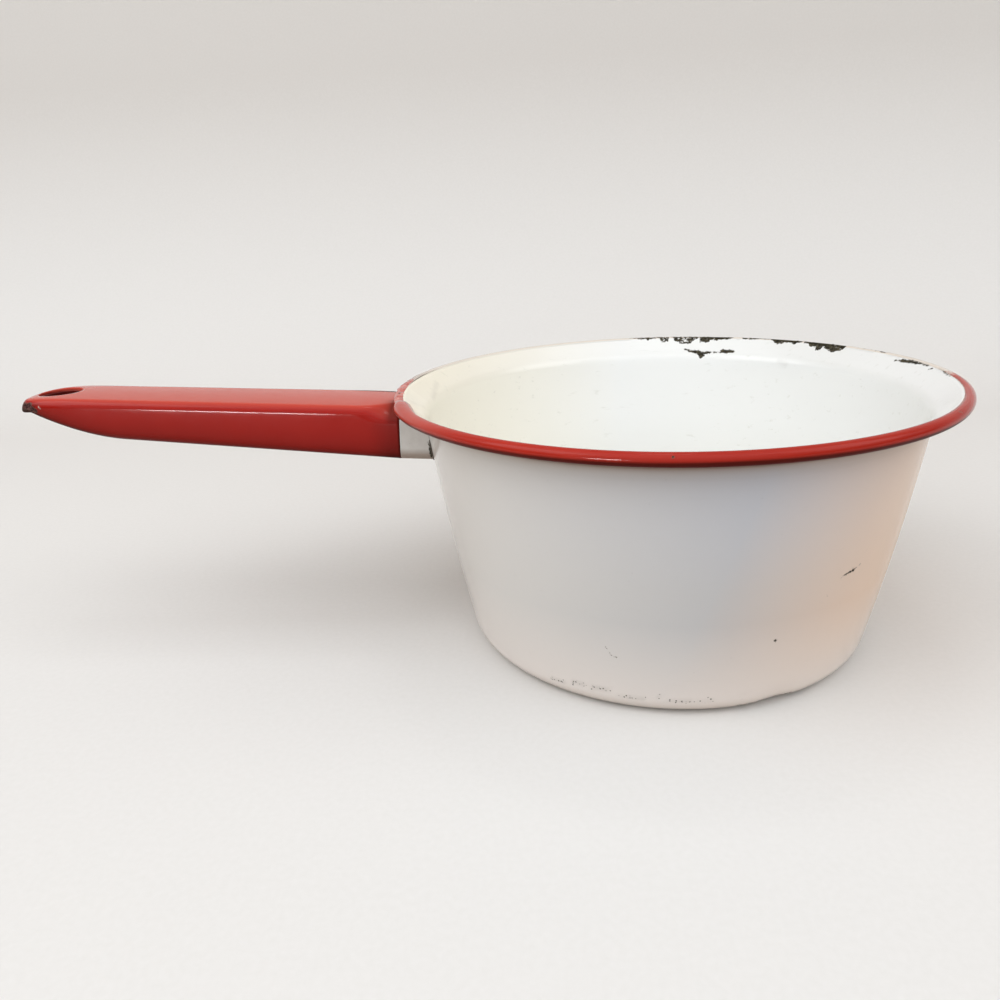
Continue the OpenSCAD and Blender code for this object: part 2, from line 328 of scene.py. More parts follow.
def refined(mesh, marks, margin, longest):
    """Splits the edges near the marks until they are no longer than a length in mm."""
    work = bmesh.new()
    work.from_mesh(mesh)
    for _ in range(4):
        edges = [e for e in work.edges if e.calc_length() > longest * MM]
        if not edges:
            break
        middles = np.array([(e.verts[0].co + e.verts[1].co) / 2 for e in edges]) / MM
        near = inside_marks(middles, marks) > -margin
        chosen = [e for e, close in zip(edges, near) if close]
        if not chosen:
            break
        bmesh.ops.subdivide_edges(work, edges=chosen, cuts=1, use_grid_fill=True)
    work.to_mesh(mesh)
    work.free()


def written(mesh, name, values):
    """Keeps one number for each point of a mesh under a name, for its material."""
    layer = mesh.attributes.get(name) or mesh.attributes.new(name, "FLOAT", "POINT")
    layer.data.foreach_set("value", np.asarray(values, np.float32))


def sunk(mesh, field, depth, slope):
    """Sinks the points that lie inside marks, over a slope, both in mm."""
    points, normals = points_of(mesh)
    share = np.clip(field / slope, 0, 1)
    share = share * share * (3 - 2 * share)
    mesh.vertices.foreach_set("co", ((points - normals * (depth * share)[:, None]) * MM).ravel())
    mesh.update()


outer_skin = bowl_skin()
inner_skin = beside(outer_skin, SHEET)
inner_skin[0] = (0, SHEET)
# Turns round the tube, in degrees: the top line, from which runs are measured, the joint with the lip, and
# how far before the top line the path starts
TOP_TURN = 70
LIP_TURN = 130
PATH_BEFORE = 40
top_arc = [np.array(TUBE_AT) + TUBE_R * np.array((math.cos(math.radians(a)), math.sin(math.radians(a))))
           for a in range(TOP_TURN - PATH_BEFORE, LIP_TURN, 5)]
rim_path = np.array(top_arc + list(inner_skin[:20:-1]))
rim_runs = np.concatenate(([0], np.cumsum(np.linalg.norm(np.diff(rim_path, axis=0), axis=1))))
rim_runs -= TUBE_R * math.radians(PATH_BEFORE)
# The number of the path's point from which it only goes down
PATH_DOWN = 12


def on_rim(azimuth, run):
    """The point at an angle round the pan, in degrees, and a distance in mm inwards along the skin from the
    top line of the rim."""
    radius, height = (float(np.interp(run, rim_runs, rim_path[:, i])) for i in (0, 1))
    turn = math.radians(azimuth)
    return (radius * math.cos(turn), radius * math.sin(turn), height)


# How far the chips reach in from the top line of the far rim, as (angle round the pan, reach in mm)
RIM_WEAR = [
    (94.6, 0), (93.4, 1.3), (91.5, 2), (90, 2.6), (88.8, 2), (88.4, 3.1), (87.6, 3.2), (87, 1.9),
    (84.9, 1.9), (84.5, 4.1), (83.4, 4.6), (82.5, 4.3), (82.1, 1.6), (81.2, 1), (80.9, 3.6), (79.6, 5.2),
    (78.6, 5.7), (76.2, 5.7), (75.6, 4.3), (74.6, 2.8), (74, 1.3), (73.6, 4.9), (71.1, 4.9), (70.7, 3.5),
    (66.7, 3.1), (65, 2.3), (64.2, 0.6), (63.8, -1), (62.4, -1), (62, 2.3), (59.8, 2.2), (57.1, 1.7),
    (54.1, 1.7), (53.4, 2.8), (52, 4.4), (51, 4.1), (50.3, 3.1), (48.3, 3.1), (47.4, 3.8), (46.8, 2.5),
    (45.6, 2.1), (45.2, 0.7), (44.8, 2.5), (43.4, 2.9), (42.6, 3.9), (41, 4), (40.6, 5.6), (39.4, 5.4),
    (39, 3.2), (38.3, 4.2), (36.6, 5.1), (35.8, 5.7), (34.4, 5.1), (33.6, 4.2), (33.1, 3.4), (32.8, -1),
    (31.2, -1), (30.6, 0.9), (25.6, 1.2), (21, 1.6), (20.4, -1),
]
wear_angles, wear_reaches = np.array(RIM_WEAR[::-1]).T


def worn_back(azimuths, runs, points):
    """How far each point lies inside the chips of the far rim, in mm."""
    reach = np.interp(azimuths, wear_angles, wear_reaches, left=-1, right=-1)
    field = np.minimum(reach - runs, runs + 0.9)
    close = (field > -1.6) & (reach > -0.9)
    field = np.where(reach > -0.9, np.minimum(field, np.interp(azimuths, (69, 76), (0.7, 0.3))), -3)
    field[close] += 0.7 * mottle(points[close], 1.2, 3) - 0.12
    return field


# Where the meshes are made finer for the chips of the far rim
RIM_NEAR = [(on_rim(a[0], 0.5), on_rim(b[0], max(1, min(a[1], b[1]))), max(a[1], b[1]) / 2 + 0.6)
            for a, b in zip(RIM_WEAR, RIM_WEAR[1:]) if min(a[1], b[1]) > 0]
# Chips along the rim at the right, and on the lip at the back. A mark is (start, end, half width) in mm.
RIM_CHIPS = [
    (on_rim(15.8, 4.1), on_rim(13.8, 3.6), 0.4), (on_rim(13.8, 3.5), on_rim(11, 3.0), 0.85),
    (on_rim(11, 2.9), on_rim(8.2, 2.7), 0.65), (on_rim(8.2, 2.6), on_rim(4.4, 2.4), 0.34),
    (on_rim(2.9, 3.8), on_rim(1.4, 2.4), 0.2), (on_rim(-2.4, 2.2), on_rim(-7.5, 2.6), 0.18),
]
LIP_CHIPS = [
    (on_rim(77.5, 9.2), on_rim(76, 9.7), 0.4), (on_rim(76.2, 10.2), on_rim(73.4, 10.9), 0.75),
    (on_rim(73.4, 11), on_rim(72.4, 12.4), 1.15), (on_rim(72.7, 12.8), on_rim(72.5, 13.3), 0.7),
    (on_rim(72.2, 11.4), on_rim(70.1, 10.8), 0.6), (on_rim(70.1, 10.8), on_rim(66.7, 10.6), 0.3),
    (on_rim(66.5, 9.7), on_rim(65.3, 10.3), 1.0), (on_rim(65.0, 10), on_rim(63.7, 9.8), 0.95),
]


def on_foot(azimuth, radius, height):
    """A point in mm low on the bowl, at an angle round the pan, in degrees."""
    turn = math.radians(azimuth)
    return (radius * math.cos(turn), radius * math.sin(turn), height)


# Faint stains inside, near the handle and below the lip
STAINS = [
    ((-92.3, -15.2, 92.6), (-89.1, -9.3, 89.2), 0.35), ((-89, 24.1, 91.4), (-88.6, 9, 88.5), 0.4),
    ((57.8, 66.9, 87.5), (60.2, 64.3, 86.6), 0.3),
]
# The scratch on the wall at the right, and three specks
BODY_SCRATCH = [
    ((45.2, -69.9, 46.4), (47.3, -68.6, 47.1), 0.2), ((46.9, -68.8, 46.9), (49.4, -67.1, 47.4), 0.42),
    ((49.4, -67.1, 47.4), (51.8, -65.3, 48.7), 0.2), ((25.3, -75.8, 28.3), (25.4, -75.8, 28.0), 0.3),
    ((41.2, -71.4, 41.3), (41.3, -71.4, 41.0), 0.26), ((-26.9, -74.9, 27.5), (-24.6, -74.9, 23.2), 0.08),
    ((-24.6, -74.9, 23.2), (-22.6, -75.3, 22.2), 0.08),
]
# Chips along the foot
FOOT_CHIPS = [
    (on_foot(-77, 73.4, 2.0), on_foot(-71, 73.4, 2.0), 0.5),
    (on_foot(-71, 73.4, 2.1), on_foot(-65, 73.4, 2.1), 0.8),
    (on_foot(-65, 73.4, 2.2), on_foot(-62, 73.8, 2.8), 0.4),
    (on_foot(-62, 72.6, 1.0), on_foot(-56, 72.6, 1.0), 0.5),
    (on_foot(121, 73.2, 1.7), on_foot(127, 73.0, 1.5), 0.8),
    (on_foot(38, 73.0, 1.5), on_foot(41, 73.4, 2.0), 0.9),
]
# Scuffs along the foot, where the pan was slid
FOOT_SCUFFS = [
    ((-43.6, -61.5, 6.3), (-39.2, -64.6, 6.3), 0.2), ((-36.6, -66.2, 7.6), (-33.2, -68.1, 8.2), 0.35),
    ((-33.2, -68.1, 7.4), (-29.8, -69.6, 7.0), 0.25), ((-29.8, -69.6, 8.4), (-25.2, -71.5, 7.6), 0.35),
    ((-22.4, -72.4, 6.9), (-14.0, -74.3, 6.4), 0.15), ((-9.6, -75.0, 7.6), (-6.3, -75.3, 6.9), 0.15),
    ((-6.3, -75.3, 6.9), (0.2, -75.6, 6.6), 0.4), ((0.2, -75.6, 7.0), (7.6, -75.1, 6.7), 0.15),
    ((14.7, -74.2, 7.2), (18.4, -73.3, 7.4), 0.12),
]


def chipped_look(tree, place, bare, dark, light):
    """Colour and gloss of bare patches, as (mask, colour, gloss level): a ragged edge of ground coat round
    oxidised steel, with crumbs of enamel left standing in it."""
    grit = add(tree, "ShaderNodeTexNoise", {"Vector": place, "Scale": 1 / (0.7 * MM), "Detail": 5,
                                            "Roughness": 0.72})
    jag = add(tree, "ShaderNodeMath", {0: grit.outputs["Fac"], 1: 2.2, 2: -1.1}, operation="MULTIPLY_ADD")
    edge = add(tree, "ShaderNodeMath", {0: bare, 1: jag.outputs["Value"]}, operation="ADD")
    mask = add(tree, "ShaderNodeMapRange", {"Value": edge.outputs["Value"], "From Min": -0.26,
                                            "From Max": 0.16})
    rust = add(tree, "ShaderNodeTexNoise", {"Vector": place, "Scale": 1 / (1.3 * MM), "Detail": 6,
                                            "Roughness": 0.75})
    brown = add(tree, "ShaderNodeValToRGB", {"Fac": rust.outputs["Fac"]})
    brown.color_ramp.elements[0].position = 0.42
    brown.color_ramp.elements[0].color = linear(dark)
    brown.color_ramp.elements[1].position = 0.66
    brown.color_ramp.elements[1].color = linear(light)
    core = add(tree, "ShaderNodeMapRange", {"Value": edge.outputs["Value"], "From Min": -0.1,
                                            "From Max": 0.26})
    ground = add(tree, "ShaderNodeMix", {"Factor": core.outputs["Result"], "A": linear("#5E594F"),
                                         "B": brown.outputs["Color"]}, data_type="RGBA")
    shine = add(tree, "ShaderNodeMath", {0: mask.outputs["Result"], 1: -0.35, 2: 0.5},
                operation="MULTIPLY_ADD")
    return mask.outputs["Result"], ground.outputs["Result"], shine.outputs["Value"]


# Vitreous enamel, white: poured glass with a wet gloss, a soft waviness and a few specks from the kiln.
# Painted light is mixed into its colour: a cream of warm light inside towards the handle; painted shade
# that makes the outside greyer than the inside and a darker, bluer grey towards the right and the rim; a
# warm painted reflection of the floor, whiter by the foot and tan at the right; a painted shadow under the
# rolled rim; and painted shade on top of the far lip and low inside. Fine grey rubs show inside.
white_enamel, tree, output = new_material("white_vitreous_enamel")
place = add(tree, "ShaderNodeTexCoord").outputs["Object"]
where = add(tree, "ShaderNodeSeparateXYZ", {"Vector": place})
bare = add(tree, "ShaderNodeAttribute", attribute_name="bare").outputs["Fac"]
inner = add(tree, "ShaderNodeAttribute", attribute_name="inside").outputs["Fac"]
soot = add(tree, "ShaderNodeAttribute", attribute_name="soot").outputs["Fac"]
pepper = add(tree, "ShaderNodeAttribute", attribute_name="pepper").outputs["Fac"]
cloud = add(tree, "ShaderNodeTexNoise", {"Vector": place, "Scale": 1 / (45 * MM), "Detail": 3})
# Painted shade: the outside white is greyer than the inside
shaded_outside = add(tree, "ShaderNodeMix", {"Factor": cloud.outputs["Fac"], "A": linear("#DFE0DE"),
                                     "B": linear("#E3E4E2")}, data_type="RGBA")
# Painted shade: a darker, bluer grey from the left towards the right, bluer still towards the rim
front_shade_across = add(tree, "ShaderNodeMapRange", {"Value": where.outputs["X"], "From Min": -72 * MM,
                                             "From Max": 12 * MM})
front_shade_up = add(tree, "ShaderNodeMapRange", {"Value": where.outputs["Z"], "From Min": 48 * MM,
                                             "From Max": 84 * MM})
front_shade = add(tree, "ShaderNodeMix", {"Factor": front_shade_up.outputs["Result"], "A": linear("#C6CACF"),
                                   "B": linear("#C9D0DC")}, data_type="RGBA")
front_shaded = add(tree, "ShaderNodeMix", {"Factor": front_shade_across.outputs["Result"], "A": shaded_outside.outputs["Result"],
                                     "B": front_shade.outputs["Result"]}, data_type="RGBA")
# Painted reflection: a warm tan towards the right, as a warm floor would cast
slope = add(tree, "ShaderNodeMath", {0: where.outputs["Z"], 1: -0.35, 2: where.outputs["X"]},
            operation="MULTIPLY_ADD")
warm_bounce_share = add(tree, "ShaderNodeMapRange",
               {"Value": slope.outputs["Value"], "From Min": -11.5 * MM, "From Max": 60.5 * MM})
warm_bounced = add(tree, "ShaderNodeMix", {"Factor": warm_bounce_share.outputs["Result"], "A": front_shaded.outputs["Result"],
                                     "B": linear("#F3D3B6")}, data_type="RGBA")
# Painted light: whiter towards the foot, as bounce from the floor
floor_bounce_share = add(tree, "ShaderNodeMapRange", {"Value": where.outputs["Z"], "From Min": 36 * MM,
                                             "From Max": 4 * MM, "To Max": 0.85})
outside = add(tree, "ShaderNodeMix", {"Factor": floor_bounce_share.outputs["Result"], "A": warm_bounced.outputs["Result"],
                                      "B": linear("#F4F0ED")}, data_type="RGBA")
clean = add(tree, "ShaderNodeMix", {"Factor": cloud.outputs["Fac"], "A": linear("#EDEFEF"),
                                    "B": linear("#F0F2F2")}, data_type="RGBA")
# Painted shade on the top of the far lip
lip_shade = add(tree, "ShaderNodeAttribute", attribute_name="lip_shade").outputs["Fac"]
# Painted shade: the inside turns greyer lower down
low_shade_share = add(tree, "ShaderNodeMapRange", {"Value": where.outputs["Z"], "From Min": 62 * MM,
                                            "From Max": 15 * MM})
shaded_low = add(tree, "ShaderNodeMix", {"Factor": low_shade_share.outputs["Result"], "A": clean.outputs["Result"],
                                   "B": linear("#E6E7E4")}, data_type="RGBA")
shaded_lip = add(tree, "ShaderNodeMix", {"Factor": lip_shade, "A": shaded_low.outputs["Result"],
                                        "B": linear("#E1E2E0")}, data_type="RGBA")
pale = add(tree, "ShaderNodeMix", {"Factor": inner, "A": outside.outputs["Result"],
                                   "B": shaded_lip.outputs["Result"]}, data_type="RGBA")
# Painted warm light: a cream tint inside towards the handle, greyer where the far lip's painted shade lies
warm_light_side = add(tree, "ShaderNodeMapRange", {"Value": where.outputs["X"], "From Min": -10 * MM,
                                             "From Max": -110 * MM})
warm_light = add(tree, "ShaderNodeMath", {0: warm_light_side.outputs["Result"], 1: inner}, operation="MULTIPLY")
butter = add(tree, "ShaderNodeMix", {"Factor": lip_shade, "A": linear("#F9F2DC"), "B": linear("#ECE5D1")},
             data_type="RGBA")
cream = add(tree, "ShaderNodeMix", {"Factor": warm_light.outputs["Value"], "A": pale.outputs["Result"],
                                    "B": butter.outputs["Result"]}, data_type="RGBA")
rub_space = add(tree, "ShaderNodeMapping", {"Vector": place, "Rotation": (0.2, 0.4, 0.9),
                                            "Scale": (1, 9, 9)})
rubs = add(tree, "ShaderNodeTexNoise",
           {"Vector": rub_space.outputs["Vector"], "Scale": 1 / (22 * MM), "Detail": 6, "Roughness": 0.62})
rub_line = add(tree, "ShaderNodeMapRange", {"Value": rubs.outputs["Fac"], "From Min": 0.62,
                                            "From Max": 0.7})
rub_place = add(tree, "ShaderNodeMath", {0: inner, 1: 0.17, 2: 0.04}, operation="MULTIPLY_ADD")
rub_share = add(tree, "ShaderNodeMath", {0: rub_line.outputs["Result"], 1: rub_place.outputs["Value"]},
                operation="MULTIPLY")
rubbed = add(tree, "ShaderNodeMix", {"Factor": rub_share.outputs["Value"], "A": cream.outputs["Result"],
                                     "B": linear("#B9B9AE")}, data_type="RGBA")
specks = add(tree, "ShaderNodeTexVoronoi", {"Vector": place, "Scale": 1 / (0.85 * MM), "Randomness": 1})
speck_near = add(tree, "ShaderNodeMapRange", {"Value": specks.outputs["Distance"], "From Min": 0.4,
                                              "From Max": 0.2})
speck_pick = add(tree, "ShaderNodeSeparateColor", {"Color": specks.outputs["Color"]})
speck_some = add(tree, "ShaderNodeMath", {0: pepper, 1: speck_pick.outputs["Red"]}, operation="SUBTRACT")
speck_on = add(tree, "ShaderNodeMapRange", {"Value": speck_some.outputs["Value"], "From Min": 0,
                                            "From Max": 0.08})
speck = add(tree, "ShaderNodeMath", {0: speck_near.outputs["Result"], 1: speck_on.outputs["Result"]},
            operation="MULTIPLY")
peppered = add(tree, "ShaderNodeMix", {"Factor": speck.outputs["Value"], "A": rubbed.outputs["Result"],
                                       "B": linear("#3A3434")}, data_type="RGBA")
smoke = add(tree, "ShaderNodeTexNoise", {"Vector": place, "Scale": 1 / (7 * MM), "Detail": 5,
                                         "Roughness": 0.65})
smoke_some = add(tree, "ShaderNodeMath", {0: smoke.outputs["Fac"], 1: soot}, operation="MULTIPLY")
sooted = add(tree, "ShaderNodeMix", {"Factor": smoke_some.outputs["Value"], "A": peppered.outputs["Result"],
                                     "B": linear("#6E675E")}, data_type="RGBA")
# Painted shadow under the rolled rim, and painted shade on the handle's white end
painted_shade = add(tree, "ShaderNodeAttribute", attribute_name="painted_shade").outputs["Fac"]
shadowed_under_rim = add(tree, "ShaderNodeMix", {"Factor": painted_shade, "A": sooted.outputs["Result"],
                                     "B": linear("#77583D")}, data_type="RGBA")
mask, bare_colour, shine = chipped_look(tree, place, bare, "#15140E", "#5A5340")
colour = add(tree, "ShaderNodeMix", {"Factor": mask, "A": shadowed_under_rim.outputs["Result"], "B": bare_colour},
             data_type="RGBA")
haze = add(tree, "ShaderNodeTexNoise", {"Vector": place, "Scale": 1 / (18 * MM), "Detail": 4})
gloss = add(tree, "ShaderNodeMapRange", {"Value": haze.outputs["Fac"], "To Min": 0.1, "To Max": 0.2})
dull = add(tree, "ShaderNodeMath", {0: mask, 1: 0.45, 2: gloss.outputs["Result"]}, operation="MULTIPLY_ADD")
wave = add(tree, "ShaderNodeTexNoise", {"Vector": place, "Scale": 1 / (9 * MM), "Detail": 2})
swell = add(tree, "ShaderNodeBump", {"Height": wave.outputs["Fac"], "Strength": 0.5, "Distance": 0.05 * MM})
pit = add(tree, "ShaderNodeBump", {"Height": speck.outputs["Value"], "Strength": 0.6, "Distance": 0.15 * MM,
                                   "Normal": swell.outputs["Normal"]}, invert=True)
shader = add(tree, "ShaderNodeBsdfPrincipled",
             {"Base Color": colour.outputs["Result"], "Roughness": dull.outputs["Value"], "IOR": 1.52,
              "Specular IOR Level": shine, "Normal": pit.outputs["Normal"]})
tree.links.new(shader.outputs["BSDF"], output.inputs["Surface"])

bowl = spun("enamel_bowl", outer_skin + list(inner_skin[::-1]), steps=400, material=white_enamel)
facing_out(bowl.data)


def dented(mesh, azimuth, spread, depth, height):
    """Knocks the foot in by a depth, at an angle round the pan and over a spread, and up to a height."""
    points = points_of(mesh)[0]
    away = (np.degrees(np.arctan2(points[:, 1], points[:, 0])) - azimuth + 180) % 360 - 180
    radii = np.hypot(points[:, 0], points[:, 1])
    amount = depth * np.exp(-(away / spread) ** 2) * np.clip(1 - points[:, 2] / height, 0, 1)
    # The flat of the base stays flat
    amount *= np.clip((radii - 64) / 7, 0, 1)
    points[:, :2] *= (1 - amount / np.maximum(radii, 1))[:, None]
    points[:, 2] += amount * 0.7
    mesh.vertices.foreach_set("co", (points * MM).ravel())
    mesh.update()


dented(bowl.data, azimuth=-67, spread=5, depth=0.8, height=9)
bowl_marks = RIM_CHIPS + LIP_CHIPS + FOOT_CHIPS + BODY_SCRATCH
refined(bowl.data, RIM_NEAR + bowl_marks, margin=0.6, longest=0.36)
points, normals = points_of(bowl.data)
radii = np.hypot(points[:, 0], points[:, 1])
azimuths = np.degrees(np.arctan2(points[:, 1], points[:, 0]))
# The inside is what looks to the axis, the floor's upper face and the lip's
to_axis = normals[:, 0] * points[:, 0] + normals[:, 1] * points[:, 1] < 0
floor_top = (normals[:, 2] > 0.5) & (points[:, 2] < 20)
lip_top = (normals[:, 2] > 0.3) & (points[:, 2] > 85)
inside = to_axis | floor_top | lip_top
field = inside_marks(points, bowl_marks)
close = field > -1
field[close] += 0.4 * mottle(points[close], 1.2, 3) * np.clip(1 + field[close], 0, 1)
runs_in = np.interp(-points[:, 2], -rim_path[PATH_DOWN:, 1], rim_runs[PATH_DOWN:])
chipped = np.maximum(field, worn_back(azimuths, runs_in, points))
field = np.where(inside & (points[:, 2] > 88), chipped, field)
written(bowl.data, "bare", field)
written(bowl.data, "inside", inside.astype(float))
# Painted shade on the far lip, a painted shadow under the rim, and smoky by the foot, on the base and in
# scuffs and stains
far_lip = np.interp(azimuths, (-10, 35, 150, 178), (0, 1, 1, 0.2))
written(bowl.data, "lip_shade", np.clip((points[:, 2] - 86) / 3, 0, 1) * inside * far_lip)
SHADE_TOP_Z = 88.6
under_rim = SHADE_TOP_Z - points[:, 2]
shade_reach = np.interp(azimuths, (-150, -95), (0.9, 1.9))
written(bowl.data, "painted_shade", 0.88 * np.exp(-np.maximum(under_rim, 0) / shade_reach) * ~inside)
outside_low = np.clip((6 - points[:, 2]) / 6, 0, 1) * ~inside
STAND_R = 66
ring_wear = np.exp(-((radii - STAND_R) / 3.5) ** 2) * (points[:, 2] < 0.5)
scuffs = np.clip(1 + inside_marks(points, FOOT_SCUFFS) / 0.8, 0, 1)
stains = np.clip(1 + inside_marks(points, STAINS) / 1.4, 0, 1)
written(bowl.data, "soot", 0.12 * outside_low + 0.9 * ring_wear + 0.35 * scuffs + 0.2 * stains)
written(bowl.data, "pepper", np.clip(1.25 * scuffs - 0.15, 0.006, 1))
sunk(bowl.data, field, depth=0.2, slope=0.25)
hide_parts("bowl")
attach(bowl, "root")

# Rolled rim. The end of the bowl's own sheet, curled outwards into an open tube and dipped in red enamel.
# It was squeezed where it passes over the handle, and its red has worn through to white along the far side.
CURL_TURN = 280
CURL_STEPS = 30
# A hair thinner than the curl, so that its bumps stay inside it
TUBE_SHOWN_R = TUBE_R - 0.04
# Steps round the curl, closer together near its two ends
curl_steps = (0, 0.05, 0.25, 0.5, 0.75, *range(1, CURL_STEPS), CURL_STEPS - 0.05, CURL_STEPS)
curl = [math.radians(LIP_TURN - CURL_TURN * step / CURL_STEPS) for step in curl_steps]


def round_tube(radius, turns):
    """Points round the tube's middle, as (radius, height)."""
    return [(TUBE_AT[0] + radius * math.cos(turn), TUBE_AT[1] + radius * math.sin(turn)) for turn in turns]


tube_outline = round_tube(TUBE_SHOWN_R, curl) + round_tube(TUBE_R - SHEET * 0.5, curl[::-2])


def red_enamel(name, deep, light, pale, rust, crumbs):
    """Vitreous enamel, red: poured glass with a wet gloss over a deep colour. The worn attribute shows the
    white coat under it, and bare the steel. A pale colour shows real fading and a painted highlight, and a
    brown shows dark marks and painted shade, where the gloss is dimmed too."""
    material, tree, output = new_material(name)
    place = add(tree, "ShaderNodeTexCoord").outputs["Object"]
    bare = add(tree, "ShaderNodeAttribute", attribute_name="bare").outputs["Fac"]
    worn = add(tree, "ShaderNodeAttribute", attribute_name="worn").outputs["Fac"]
    # Dark marks, and painted shade
    dark_and_shade = add(tree, "ShaderNodeAttribute", attribute_name="dark_and_shade").outputs["Fac"]
    cloud = add(tree, "ShaderNodeTexNoise", {"Vector": place, "Scale": 1 / (14 * MM), "Detail": 4})
    red = add(tree, "ShaderNodeMix", {"Factor": cloud.outputs["Fac"], "A": linear(deep),
                                      "B": linear(light)}, data_type="RGBA")
    # Real fading, and a painted highlight on the handle's faces that look up
    faded_and_lit = add(tree, "ShaderNodeAttribute", attribute_name="faded_and_lit").outputs["Fac"]
    red = add(tree, "ShaderNodeMix", {"Factor": faded_and_lit, "A": red.outputs["Result"], "B": linear(pale)},
              data_type="RGBA")
    fray = add(tree, "ShaderNodeTexNoise", {"Vector": place, "Scale": 1 / (0.8 * MM), "Detail": 5,
                                            "Roughness": 0.7})
    ragged = add(tree, "ShaderNodeMath", {0: fray.outputs["Fac"], 1: 1.1, 2: -0.55},
                 operation="MULTIPLY_ADD")
    worn_edge = add(tree, "ShaderNodeMath", {0: worn, 1: ragged.outputs["Value"]}, operation="ADD")
    worn_mask = add(tree, "ShaderNodeMapRange", {"Value": worn_edge.outputs["Value"], "From Min": -0.12,
                                                 "From Max": 0.16})
    worn_red = add(tree, "ShaderNodeMix", {"Factor": worn_mask.outputs["Result"],
                                           "A": red.outputs["Result"], "B": linear("#D8CFC4")},
                   data_type="RGBA")
    darkened = add(tree, "ShaderNodeMix", {"Factor": dark_and_shade, "A": worn_red.outputs["Result"],
                                         "B": linear("#34130F")}, data_type="RGBA")
    mask, bare_colour, shine = chipped_look(tree, place, bare, rust, crumbs)
    # Where painted shade lies the gloss is dimmed and roughened
    dimmed_shine = add(tree, "ShaderNodeMath", {0: dark_and_shade, 1: -0.45, 2: shine}, operation="MULTIPLY_ADD",
                 use_clamp=True)
    colour = add(tree, "ShaderNodeMix", {"Factor": mask, "A": darkened.outputs["Result"], "B": bare_colour},
                 data_type="RGBA")
    haze = add(tree, "ShaderNodeTexNoise", {"Vector": place, "Scale": 1 / (6 * MM), "Detail": 4})
    gloss = add(tree, "ShaderNodeMapRange", {"Value": haze.outputs["Fac"], "To Min": 0.06, "To Max": 0.14})
    roughened = add(tree, "ShaderNodeMath", {0: dark_and_shade, 1: 0.3, 2: gloss.outputs["Result"]},
                 operation="MULTIPLY_ADD")
    dull = add(tree, "ShaderNodeMath", {0: mask, 1: 0.4, 2: roughened.outputs["Value"]},
               operation="MULTIPLY_ADD")
    wave = add(tree, "ShaderNodeTexNoise", {"Vector": place, "Scale": 1 / (5 * MM), "Detail": 3})
    swell = add(tree, "ShaderNodeBump", {"Height": wave.outputs["Fac"], "Strength": 0.6,
                                         "Distance": 0.05 * MM})
    shader = add(tree, "ShaderNodeBsdfPrincipled",
                 {"Base Color": colour.outputs["Result"], "Roughness": dull.outputs["Value"], "IOR": 1.27,
                  "Specular IOR Level": dimmed_shine.outputs["Value"], "Normal": swell.outputs["Normal"]})
    tree.links.new(shader.outputs["BSDF"], output.inputs["Surface"])
    return material


rim_enamel = red_enamel("worn_red_vitreous_enamel", "#A02116", "#B02D1E", "#D88A7E", "#15140E", "#5A5340")
rim = spun("rolled_rim", tube_outline, steps=1000, material=rim_enamel, loop=True)
facing_out(rim.data)

# Where the rim was pressed over the handle, as (angle round the pan, shift outwards, shift inwards, rise)
PRESSED = [
    (156, 0, 0, 0), (160, 0.6, -0.4, 0), (165, 1.1, -0.7, -0.2), (172, 1.2, -0.6, -0.35),
    (178, 0.8, -0.1, -0.35), (183, 0.3, 0.4, -0.35), (188, 0, 0.6, -0.35), (192, -0.1, 0.3, -0.35),
    (193.2, -0.2, 0.2, -0.35), (194.2, -0.2, 0.4, -0.2), (195, 0.1, 1.2, 0.05), (196, 0.4, 2.1, 0.2),
    (197, 0.6, 2.6, 0.3), (199, 0.8, 2.5, 0.35), (201.5, 0.8, 2.1, 0.3), (203, 0.8, 1.8, 0.25),
    (205, 0.75, 1.1, 0.15), (206.5, 0.7, 0.6, 0.1), (208, 0.65, 0.15, 0), (213, 0.4, 0, 0),
    (222, 0, 0, 0),
]
# How far in from its middle the tube meets the lip, as a share of its radius
LIP_JOINT = 0.643
# The flat stretch that crosses the handle lies between these angles
FLAT_FROM = 163
FLAT_TO = 193.8


def squeezed(mesh):
    """Presses the tube over the handle: a plump end like a fingertip on the near side, and a lower, flatter
    and uneven stretch that crosses the handle and fades out on the far side. Gives how uneven each point is
    and how far its inner edge slid."""
    points, normals = points_of(mesh)
    azimuths = np.degrees(np.arctan2(points[:, 1], points[:, 0])) % 360
    across = np.hypot(points[:, 0], points[:, 1]) - TUBE_AT[0]
    rise = points[:, 2] - TUBE_AT[1]
    angles, outwards, inwards, lift = np.array(PRESSED).T
    flat_to = FLAT_TO - 2.4 * np.clip(across / TUBE_R, 0, 1)
    flat = 1 / (1 + np.exp((azimuths - flat_to) / 0.3)) / (1 + np.exp((FLAT_FROM - azimuths) / 3))
    lip_share = np.clip(-across / TUBE_R / LIP_JOINT, 0, 1)
    crumple = 0.32 * mottle(points, 2.4, 3, 2) * flat * (1 - lip_share ** 2)
    radii = TUBE_AT[0] + across + np.interp(azimuths, angles, outwards) * np.clip(across / TUBE_R, 0, 1)
    slid = np.interp(azimuths, angles, inwards)
    radii -= slid * lip_share
    rise += np.interp(azimuths, angles, lift) * np.clip(rise / TUBE_R, 0, 1) * (1 - lip_share ** 2)
    down = np.maximum(slid, 0) / math.tan(math.radians(LIP_LEAN)) + 0.12 * np.clip(slid, 0, 1)
    rise -= down * lip_share ** 4 * (rise > 0)
    turn = np.radians(azimuths)
    moved = np.stack((radii * np.cos(turn), radii * np.sin(turn), TUBE_AT[1] + rise), axis=1)
    moved += normals * crumple[:, None]
    moved[:, 2] = np.minimum(moved[:, 2], RIM_H + 0.3)
    mesh.vertices.foreach_set("co", (moved * MM).ravel())
    mesh.update()
    return flat, slid


